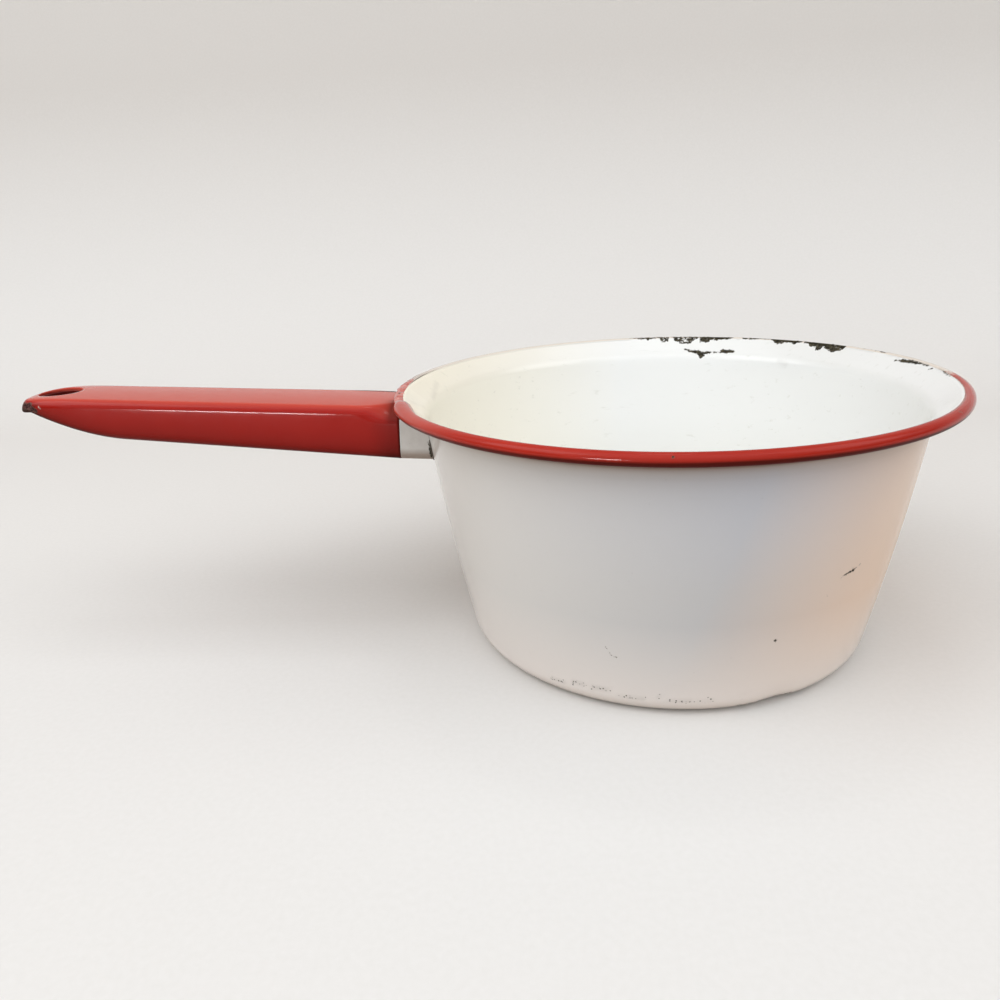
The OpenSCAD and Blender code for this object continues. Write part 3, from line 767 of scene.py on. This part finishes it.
# The chips at the right again, and three nicks in the red
BEAD_MARKS = RIM_CHIPS + [
    (on_rim(-95.7, -2.2), on_rim(-95.4, -2.3), 0.27), (on_rim(-173.5, 0.6), on_rim(-172.6, 0.4), 0.22),
    (on_rim(-40, -0.6), on_rim(-39.5, -0.6), 0.25),
]
refined(rim.data, RIM_NEAR + BEAD_MARKS, margin=0.5, longest=0.36)
points = points_of(rim.data)[0]
flat, slid = squeezed(rim.data)
azimuths = np.degrees(np.arctan2(points[:, 1], points[:, 0]))
radii = np.hypot(points[:, 0], points[:, 1])
tube_turns = np.degrees(np.arctan2(points[:, 2] - TUBE_AT[1], radii - TUBE_AT[0]))
runs_in = TUBE_R * np.radians(tube_turns - TOP_TURN)
field = inside_marks(points, BEAD_MARKS)
close = field > -1
field[close] += 0.4 * mottle(points[close], 1.2, 3) * np.clip(1 + field[close], 0, 1)
field = np.where(runs_in < 3, np.maximum(field, worn_back(azimuths, runs_in, points)), field)
written(rim.data, "bare", field)
# Worn to white on top of the far side and along the lip, and in spots on the flat stretch
far_side = np.clip(np.minimum((azimuths + 6) / 12, (172.5 - azimuths) / 9), -1.5, 1)
worn = np.minimum(np.where(runs_in > 3.5, -2, runs_in + 1.15), far_side)
lip_side = np.where(runs_in > 3.5, -2, runs_in - 2.05 - 1.2 * np.clip(slid, 0, 1))
worn = np.maximum.reduce((worn, lip_side, 0.55 * flat - 0.9))
written(rim.data, "worn", worn + 0.25 * mottle(points, 2.2, 2, 7))
# Faded at the right, on the flat stretch and on the plump end
right_fade = np.clip((azimuths + 42) / 40, 0, 1) * (azimuths < 20) * np.clip((runs_in + 2.5) / 2, 0, 1)
turns = azimuths % 360
head = np.exp(-((turns - 208) / 14) ** 2) * (1 - flat)
pinked = 0.1 * right_fade + 0.62 * flat * (0.8 + mottle(points, 2, 3, 9)) + 0.24 * head
written(rim.data, "faded_and_lit", np.clip(pinked, 0, 0.85))
# Painted shade across the front and on the underside; a dark patch past the handle and a dark line by the lip
front_shade_and_spot = np.interp(azimuths, (-120, -85, -45, -15), (0, 0.12, 0.1, 0)) * (azimuths < 0)
front_shade_and_spot += 0.3 * np.exp(-((turns - 169) / 6) ** 2)
dark_from = np.interp(azimuths, (-165, -140, -85, -50), (2.5, 2.8, 2.4, 2.8))
dark_lip_line = 0.26 * np.exp(-((runs_in - 2) / 0.22) ** 2) * (azimuths < 0)
# Painted shade on the underside
underneath = np.clip((-runs_in - dark_from) / 0.8, 0, 0.8)
written(rim.data, "dark_and_shade", np.clip(front_shade_and_spot + dark_lip_line + underneath, 0, 0.85))
sunk(rim.data, field, depth=0.18, slope=0.25)
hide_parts("rim_bead")
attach(rim, "root")

# Handle. One steel pressing, a hollow boat with its long edges turned in underneath, a nose that sweeps up
# and a hole to hang it by. It is red to a line under the rim, and bare steel shows at the tip.
HANDLE_L = 148.5
HANDLE_W = 32
NOSE_W = 30
HANDLE_DEPTH = 19.9
NOSE_DEPTH = 15.6
TIP_DEPTH = 5.4
HANDLE_SHEET = 1.4
# The top is crowned a little, its shoulders are round, and its sides swell
CROWN = 0.3
SHOULDER_R = 3.2
SIDE_SWELL = 0.2
# By the rim the near side leans in from the top down, and the far side by a share of that
TUCK_L = 12
BEVEL_W = 9
BEVEL_H = 4.6
FAR_LEAN = 0.3
# The lower edges are turned in, and at the tip hardly at all
TURN_R = 3
FLANGE_W = 2
TIP_TURN_R = HANDLE_SHEET * 1.1
TIP_FLANGE_W = HANDLE_SHEET * 0.1
# The nose is a superellipse from above, its underside sweeps up and its top dips
NOSE_L = 36
NOSE_FULLNESS = 3.1
SWEEP_L = 46
NOSE_DIP = 2.6
HOLE_R = 7.75
HOLE_INSET = 14.5
# Places along the handle, out from the rim
NOSE_X = HANDLE_L - NOSE_L
SWEEP_X = HANDLE_L - SWEEP_L
HOLE_X = HANDLE_L - HOLE_INSET
ROOT_X = -TUBE_R * 1.3
# Its own frame: how high the top's middle line passes the rim, how far it rises from level, and which ways
# are out and up
HANDLE_TOP_Z = 91.1
RISE = math.radians(3.1)
OUT_WAY = np.array((-math.cos(RISE), 0, math.sin(RISE)))
UP_WAY = np.array((math.sin(RISE), 0, math.cos(RISE)))


def from_handle(points):
    """Points of the handle's own frame (out along the top, across, up) in the pan's frame, in mm."""
    points = np.asarray(points, float)
    return (np.array((-RIM_R, 0, HANDLE_TOP_Z)) + points[:, :1] * OUT_WAY
            + points[:, 1:2] * np.array((0, 1, 0)) + points[:, 2:] * UP_WAY)


def mix(a, b, share):
    """A value between two others."""
    return a + (b - a) * share


def swept(x):
    """How far the underside has swept up at a distance out along the handle, from 0 to 1."""
    return min(1, max(0, (x - SWEEP_X) / (SWEEP_L * 0.82))) ** 2


def depth(x):
    """How deep the handle is there."""
    return mix(mix(HANDLE_DEPTH, NOSE_DEPTH, x / SWEEP_X), TIP_DEPTH, swept(x))


def bevel(x, z):
    """How far the near side leans in where the handle tucks under the rim."""
    return BEVEL_W * min(1, max(0, 1 - x / TUCK_L)) ** 1.5 * min(1, max(0, 1 + z / BEVEL_H))


def belly(x, z):
    """How far the pressed side swells out, most of all above its middle."""
    return SIDE_SWELL * math.sin(math.pi * min(1, max(0, -z / depth(x)))) ** 2


def dip(x):
    """How far the nose's top dips there."""
    return NOSE_DIP * (max(0, x - NOSE_X) / NOSE_L) ** 4


def half_section(w, x, inset, lean=1):
    """Half a section of the sheet, as (distance from the middle line, height), over the shoulder and round
    the turned-in edge. The inset moves it into the sheet, and lean is its share of the bevel."""
    deep = depth(x)
    turn_r = mix(TURN_R, TIP_TURN_R, swept(x))
    flange = mix(FLANGE_W, TIP_FLANGE_W, swept(x))
    shoulder_r = min(SHOULDER_R, deep - turn_r - CROWN - HANDLE_SHEET * 0.25)
    side_top = -CROWN - shoulder_r
    side_low = turn_r - deep
    line = [((w - shoulder_r) * s, -CROWN * s * s - inset) for s in (i / 8 for i in range(8))]
    line += [(w - shoulder_r + (shoulder_r - inset) * math.cos(math.radians(90 - 6 * i)),
              side_top + (shoulder_r - inset) * math.sin(math.radians(90 - 6 * i))) for i in range(16)]
    line += [(w - inset, mix(side_top, side_low, i / 8)) for i in range(1, 8)]
    line += [(w - turn_r + (turn_r - inset) * math.cos(math.radians(-11.25 * i)),
              side_low + (turn_r - inset) * math.sin(math.radians(-11.25 * i))) for i in range(9)]
    line += [(w - turn_r - flange * 0.5, inset - deep), (w - turn_r - flange, inset - deep)]
    return [(y + (belly(x, z) - lean * bevel(x, z)) * min(1, max(0, y / w)), z) for y, z in line]


def body_station(x):
    """A section of the straight part, as (its place, way across, half width, where its depth is taken)."""
    return x, (0, 1), mix(HANDLE_W, NOSE_W, x / NOSE_X) / 2, x


def nose_station(share):
    """A section that fans out to the nose's edge, from its start at 0 to the tip at 1."""
    turn = math.radians(90 * share)
    bend = 2 / NOSE_FULLNESS
    half_w = NOSE_W / 2
    edge_x = NOSE_L * math.sin(turn) ** bend
    edge_y = half_w * max(0, math.cos(turn)) ** bend
    middle = edge_x * (1 - 0.5 * half_w / NOSE_L)
    run = math.hypot(edge_x - middle, edge_y)
    return NOSE_X + middle, ((edge_x - middle) / run, edge_y / run), run, NOSE_X + edge_x


def ring(station):
    """A whole section: the outside from one turned-in edge to the other, then back along the inside."""
    x0, (ax, ay), w, edge_x = station
    outside = half_section(w, edge_x, 0)
    inside = half_section(w, edge_x, HANDLE_SHEET)
    far_outside = half_section(w, edge_x, 0, FAR_LEAN)
    far_inside = half_section(w, edge_x, HANDLE_SHEET, FAR_LEAN)
    edge = outside[-1][0] - 0.25
    lip = [(edge, (outside[-1][1] * 3 + inside[-1][1]) / 4), (edge, (outside[-1][1] + inside[-1][1] * 3) / 4)]
    loop = [(-1, p) for p in outside[::-1]]
    loop += [(1, p) for p in far_outside[1:] + lip + far_inside[::-1]]
    loop += [(-1, p) for p in inside[1:] + lip[::-1]]
    return [(x0 + ax * p[0], side * ay * p[0], p[1] - dip(x0 + ax * p[0])) for side, p in loop]


def lofted(name, rings, material, join_end=False):
    """A closed skin through rings of points in mm. join_end folds the last ring shut along its middle."""
    n = len(rings[0])
    verts = [p for one in rings for p in one]
    faces = [(i * n + j, i * n + (j + 1) % n, (i + 1) * n + (j + 1) % n, (i + 1) * n + j)
             for i in range(len(rings) - 1) for j in range(n)]
    # A ring holds half a section four times, less two shared middle points, and two more on each edge
    half = (n - 4) // 4 + 1
    for first in ([0] if join_end else [0, (len(rings) - 1) * n]):
        faces += [(first + j, first + j + 1, first + n - 4 - j, first + n - 3 - j)
                  for j in range(2 * half - 2)]
        faces += [(first, first + n - 3, first + n - 2, first + n - 1),
                  (first + 2 * half - 2, first + 2 * half - 1, first + 2 * half, first + 2 * half + 1)]
    mesh = bpy.data.meshes.new(name)
    mesh.from_pydata([tuple(p) for p in from_handle(verts) * MM], [], faces)
    facing_out(mesh)
    mesh.polygons.foreach_set("use_smooth", [True] * len(mesh.polygons))
    mesh.materials.append(material)
    piece = bpy.data.objects.new(name, mesh)
    bpy.context.scene.collection.objects.link(piece)
    return piece


handle_enamel = red_enamel("red_vitreous_enamel", "#9A150D", "#A51D13", "#C34C3C", "#281A1B", "#775551")
stations = [body_station(ROOT_X + TUCK_L * i / 12) for i in range(13)]
stations += [body_station(mix(ROOT_X + TUCK_L, SWEEP_X, i / 30)) for i in range(1, 30)]
stations += [body_station(mix(SWEEP_X, NOSE_X, i / 6)) for i in range(6)]
nose_turns = [i / 36 for i in range(37)]
nose_turns = [0.5 * (2 * t) ** 1.5 if t < 0.5 else 1 - 0.5 * (2 - 2 * t) ** 1.5 for t in nose_turns]
stations += [nose_station(t) for t in nose_turns]
handle = lofted("handle_pressing", [ring(s) for s in stations], handle_enamel, join_end=True)

# The hanging hole is cut with a punch whose sides flare above and below, which rounds the hole's two edges.
# Its outline is (how far it flares past the hole, how far below the top face).
PUNCH_OUTLINE = ((0.9, -1.2), (0.6, -0.25), (0.35, 0.02), (0.16, 0.14), (0.04, 0.32), (0, 0.55), (0, 0.85),
                 (0.05, 1.1), (0.18, 1.28), (0.4, 1.39), (0.6, 1.6), (0.8, 2.4))
PUNCH_STEPS = 72
hole_slope = math.atan(4 * dip(HOLE_X) / (HOLE_X - NOSE_X))
cutter_rings = []
for reach, drop in PUNCH_OUTLINE:
    loop = []
    for i in range(PUNCH_STEPS):
        turn = math.radians(360 / PUNCH_STEPS * i)
        u = (HOLE_R + reach) * math.cos(turn)
        v = (HOLE_R + reach) * math.sin(turn)
        x = HOLE_X + u * math.cos(hole_slope)
        width = mix(HANDLE_W, NOSE_W, x / NOSE_X) / 2 - SHOULDER_R
        loop.append((x, v, -dip(x) - CROWN * min(1, abs(v) / width) ** 2 - drop))
    cutter_rings.append(loop)
cutter_mesh = bpy.data.meshes.new("hole_punch")
cutter_mesh.from_pydata(
    [tuple(p) for p in from_handle([p for loop in cutter_rings for p in loop]) * MM], [],
    [(i * PUNCH_STEPS + j, i * PUNCH_STEPS + (j + 1) % PUNCH_STEPS,
      (i + 1) * PUNCH_STEPS + (j + 1) % PUNCH_STEPS, (i + 1) * PUNCH_STEPS + j)
     for i in range(len(cutter_rings) - 1) for j in range(PUNCH_STEPS)]
    + [tuple(range(PUNCH_STEPS)),
       tuple(range((len(cutter_rings) - 1) * PUNCH_STEPS, len(cutter_rings) * PUNCH_STEPS))])
facing_out(cutter_mesh)
punch = bpy.data.objects.new("hole_punch", cutter_mesh)
bpy.context.scene.collection.objects.link(punch)
cut = handle.modifiers.new("hole", "BOOLEAN")
cut.operation = "DIFFERENCE"
cut.object = punch
cut.solver = "EXACT"
bpy.context.view_layer.update()
handle_mesh = bpy.data.meshes.new_from_object(handle.evaluated_get(bpy.context.evaluated_depsgraph_get()))
handle.modifiers.clear()
handle.data = handle_mesh
bpy.data.objects.remove(punch)
handle_mesh.materials.clear()
handle_mesh.materials.append(handle_enamel)
handle_mesh.polygons.foreach_set("material_index", [0] * len(handle_mesh.polygons))
handle_mesh.polygons.foreach_set("use_smooth", [True] * len(handle_mesh.polygons))

# Bare steel round the tip, a chip on the far edge by the rim, and a fleck of white by the tip
TIP_CHIPS = [
    ((-243.6, -9.6, 94.4), (-239.4, -12.2, 94.9), 1.5), ((-239.4, -12.4, 94.6), (-236.8, -13.4, 93.6), 1.0),
    ((-246.2, -6.4, 94.8), (-243.6, -9.6, 94.4), 1.0), ((-247.6, -1.5, 94.8), (-246.2, -6.4, 95.0), 0.5),
    ((-107.2, 12.5, 91.2), (-103.8, 11.7, 91.1), 0.45),
]
TIP_FLECK = [((-234.9, -13.6, 94.9), (-234.3, -13.7, 94.4), 0.42)]
refined(handle_mesh, TIP_CHIPS + TIP_FLECK, margin=0.8, longest=0.5)
points, normals = points_of(handle_mesh)
local = points - np.array((-RIM_R, 0, HANDLE_TOP_Z))
out_run = local @ OUT_WAY
up_run = local @ UP_WAY
field = inside_marks(points, TIP_CHIPS)
close = field > -1.5
field[close] += 0.45 * mottle(points[close], 1.6, 3) * np.clip(1.5 + field[close], 0, 1)
written(handle_mesh, "bare", field)
written(handle_mesh, "worn", inside_marks(points, TIP_FLECK))
# A dark line at the red's end. Painted shade darkens the sides towards the lower edge, with a brown
# painted reflection along it, and lies by the rim, inside the handle and along the far top edge
depths = np.array([depth(x) for x in out_run])
above_edge = np.maximum(up_run + depths, 0)
side_on = np.clip(1 - normals[:, 2] / 0.6, 0, 1)
end_line = 0.85 * np.clip((ROOT_X + 0.5 - out_run) / 0.3, 0, 1)
# Painted shade towards the lower edge, with a brown painted reflection along it
lower_edge_shade = 0.72 * np.exp(-above_edge / 4.6) * side_on
lower_edge_shade += 0.6 * np.exp(-above_edge / 0.9) * np.clip((out_run - 105) / 15, 0, 1)
# Painted shade by the rim
near_rim = 0.3 * np.clip((9 - out_run) / 9, 0, 1) * side_on
# Points below the top sheet and nearer the middle than this are inside
INSIDE_HALF_W = 13.6
side_at = np.array([INSIDE_HALF_W - bevel(x, z) for x, z in zip(out_run, up_run)])
# Painted shade inside the handle
inside_shade = np.clip((-HANDLE_SHEET * 1.3 - up_run) / 1.5, 0, 1) * (np.abs(points[:, 1]) < side_at) * 0.65
# Painted shade on the near side under the rim
tucked = np.exp(-np.maximum(out_run - 1, 0) / 1.5) * np.interp(up_run, (-9, -4), (0.15, 0.6))
tucked *= points[:, 1] < -4
# Painted shade along the far top edge
far_line = inside_marks(points, [((-103, 11.3, 91.1), (-120, 12.8, 92.0), 0.6)])
far_edge = 0.75 * np.clip(1 + far_line / 1.2, 0, 1)
dark_and_shade = np.maximum.reduce((end_line, lower_edge_shade + near_rim, inside_shade, tucked, far_edge))
written(handle_mesh, "dark_and_shade", np.clip(dark_and_shade, 0, 1))
# Paler as a painted highlight on faces that look up, and paler on the hole's wall
# Painted highlight on faces that look up
lit_top_share = np.clip((normals[:, 2] - 0.5) / 0.48, 0, 1) ** 1.5
in_hole = np.hypot(out_run - HOLE_X, points[:, 1]) < HOLE_R + 0.4
written(handle_mesh, "faded_and_lit", np.where(in_hole, 0.75, 0.85 * lit_top_share) * (inside_shade < 0.01))
# The tip is worn short
worn_tip = np.clip((out_run - 141) / 7, 0, 1) ** 2 * np.interp(up_run, (-7.2, -3.4), (1.2, 3.1))
handle_mesh.vertices.foreach_set("co", ((points + np.array((1, 0, 0)) * worn_tip[:, None]) * MM).ravel())
sunk(handle_mesh, field, depth=0.2, slope=0.3)
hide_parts("handle_shell")
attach(handle, "root")

# White end of the handle. It runs from the red line under the rim to the wall, is cut to the wall's curve,
# and wears the same white enamel as the bowl, darker all over in a smoky mottle, with painted shade over it
# that deepens to a brown painted reflection at its lower edge.
skin_heights = np.array([p[1] for p in outer_skin[13:]])
skin_radii = np.array([p[0] for p in outer_skin[13:]])


def wall_x(point):
    """How far out along the handle a point of its section meets the wall."""
    x = ROOT_X
    for _ in range(8):
        z = float(from_handle([(x, point[1], point[2])])[0][2])
        r = float(np.interp(z, skin_heights, skin_radii)) + 0.1
        x = (math.sqrt(r * r - point[1] ** 2) - RIM_R + point[2] * math.sin(RISE)) / math.cos(RISE)
    return x


root_ring = ring(body_station(ROOT_X))
wall_ring = [(wall_x(p), p[1], p[2]) for p in root_ring]
# It stops just short of the red end, whose line shows there
ROOT_SHARES = (0, 0.04, 0.12, 0.25, 0.4, 0.55, 0.7, 0.85, 0.96, 0.99)
root_rings = [[tuple(mix(np.array(a), np.array(b), s)) for a, b in zip(wall_ring, root_ring)]
              for s in ROOT_SHARES]
root = lofted("handle_white_end", root_rings, white_enamel)
# Enamel broken away beside the weld
ROOT_CHIPS = [
    ((-87.3, -16.1, 77.6), (-86.9, -16.1, 75.6), 0.24), ((-86.9, -16.1, 75.3), (-86.5, -15.8, 70.8), 0.36),
    ((-88.6, 16.2, 77.5), (-87.6, 16.2, 74.6), 0.1),
]
refined(root.data, ROOT_CHIPS, margin=1, longest=0.4)
points = points_of(root.data)[0]
field = inside_marks(points, ROOT_CHIPS)
field += 0.3 * mottle(points, 1.1, 3)
written(root.data, "bare", field)
written(root.data, "inside", np.zeros(len(points)))
written(root.data, "pepper", np.full(len(points), 0.02))
local = points - np.array((-RIM_R, 0, HANDLE_TOP_Z))
# Painted shade over the white end, deepest with a brown painted reflection at its lower edge
low = np.clip((4.6 - (local @ UP_WAY + HANDLE_DEPTH)) / 2.4, 0, 1)
written(root.data, "soot", np.full(len(points), 0.42))
written(root.data, "painted_shade", np.clip(0.1 + 0.55 * low, 0, 1))
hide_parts("handle_root")
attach(root, "root")

# Weld. A short run along each side of the joint and round the turned-in edge, where the enamel has broken
# away and left a dark, rough line of oxidised metal.

# Oxidised weld: no gloss, brown black scale with grains about half a millimetre across
scale_metal, tree, output = new_material("oxidised_weld")
place = add(tree, "ShaderNodeTexCoord").outputs["Object"]
grain = add(tree, "ShaderNodeTexNoise", {"Vector": place, "Scale": 1 / (0.6 * MM), "Detail": 5,
                                         "Roughness": 0.7})
brown = add(tree, "ShaderNodeValToRGB", {"Fac": grain.outputs["Fac"]})
brown.color_ramp.elements[0].position = 0.35
brown.color_ramp.elements[0].color = linear("#1B1614")
brown.color_ramp.elements[1].position = 0.72
brown.color_ramp.elements[1].color = linear("#6B5B4E")
rough = add(tree, "ShaderNodeBump", {"Height": grain.outputs["Fac"], "Strength": 0.8, "Distance": 0.2 * MM})
shader = add(tree, "ShaderNodeBsdfPrincipled", {"Base Color": brown.outputs["Color"], "Roughness": 0.7,
                                                "Metallic": 0.3, "Normal": rough.outputs["Normal"]})
tree.links.new(shader.outputs["BSDF"], output.inputs["Surface"])

weld_tree = bpy.data.node_groups.new("weld_run", "GeometryNodeTree")
weld_tree.is_modifier = True
weld_tree.interface.new_socket("Joint Line", in_out="INPUT", socket_type="NodeSocketGeometry")
WELD_INPUTS = [
    ("Run Radius", "NodeSocketFloat"), ("Step", "NodeSocketFloat"), ("Ripple", "NodeSocketFloat"),
    ("Ripple Size", "NodeSocketFloat"), ("Seed", "NodeSocketFloat"), ("Finish", "NodeSocketMaterial"),
]
for name, kind in WELD_INPUTS:
    weld_tree.interface.new_socket(name, in_out="INPUT", socket_type=kind)
weld_tree.interface.new_socket("Run", in_out="OUTPUT", socket_type="NodeSocketGeometry")
given = add(weld_tree, "NodeGroupInput").outputs
line = add(weld_tree, "GeometryNodeMeshToCurve", {"Mesh": given["Joint Line"]})
even = add(weld_tree, "GeometryNodeResampleCurve", {"Curve": line.outputs["Curve"],
                                                    "Length": given["Step"]}, mode="LENGTH")
section = add(weld_tree, "GeometryNodeCurvePrimitiveCircle",
              {"Resolution": 10, "Radius": given["Run Radius"]})
tube = add(weld_tree, "GeometryNodeCurveToMesh", {"Curve": even.outputs["Curve"],
                                                  "Profile Curve": section.outputs["Curve"],
                                                  "Fill Caps": True})
ripple_place = add(weld_tree, "GeometryNodeInputPosition")
fineness = add(weld_tree, "ShaderNodeMath", {0: 1.0, 1: given["Ripple Size"]}, operation="DIVIDE")
ripple = add(weld_tree, "ShaderNodeTexNoise", {"Vector": ripple_place.outputs["Position"],
                                               "W": given["Seed"], "Scale": fineness.outputs["Value"],
                                               "Detail": 3}, noise_dimensions="4D")
centred = add(weld_tree, "ShaderNodeMath", {0: ripple.outputs["Fac"], 1: 0.5}, operation="SUBTRACT")
height = add(weld_tree, "ShaderNodeMath", {0: centred.outputs["Value"], 1: given["Ripple"]},
             operation="MULTIPLY")
normal = add(weld_tree, "GeometryNodeInputNormal")
push = add(weld_tree, "ShaderNodeVectorMath", {0: normal.outputs["Normal"],
                                               "Scale": height.outputs["Value"]}, operation="SCALE")
rippled = add(weld_tree, "GeometryNodeSetPosition", {"Geometry": tube.outputs["Mesh"],
                                                     "Offset": push.outputs["Vector"]})
smooth = add(weld_tree, "GeometryNodeSetShadeSmooth", {"Geometry": rippled.outputs["Geometry"]})
real = add(weld_tree, "GeometryNodeRealizeInstances", {"Geometry": smooth.outputs["Geometry"]})
coated = add(weld_tree, "GeometryNodeSetMaterial", {"Geometry": real.outputs["Geometry"],
                                                    "Material": given["Finish"]})
add(weld_tree, "NodeGroupOutput", {"Run": coated.outputs["Geometry"]})

# The joint's lower line on the near side, and the same on the far side
WELD_TOP = -10.5
near_n = len(half_section(HANDLE_W / 2, ROOT_X, 0))
joint = [p for p in wall_ring[:near_n] if p[2] < WELD_TOP]
joint_points = joint + [(x, -y, z) for x, y, z in joint]
n = len(joint)
joint_mesh = bpy.data.meshes.new("weld_line")
joint_mesh.from_pydata([tuple(p) for p in from_handle(joint_points) * MM],
                       [(i, i + 1) for i in range(n - 1)] + [(n + i, n + i + 1) for i in range(n - 1)], [])
weld = grown("weld_run", joint_mesh, weld_tree, {"Run Radius": 0.36 * MM, "Step": 0.3 * MM,
                                                 "Ripple": 0.8 * MM, "Ripple Size": 1.1 * MM, "Seed": 4.0,
                                                 "Finish": scale_metal})
facing_out(weld.data)
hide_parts("root_weld")
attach(weld, "root")
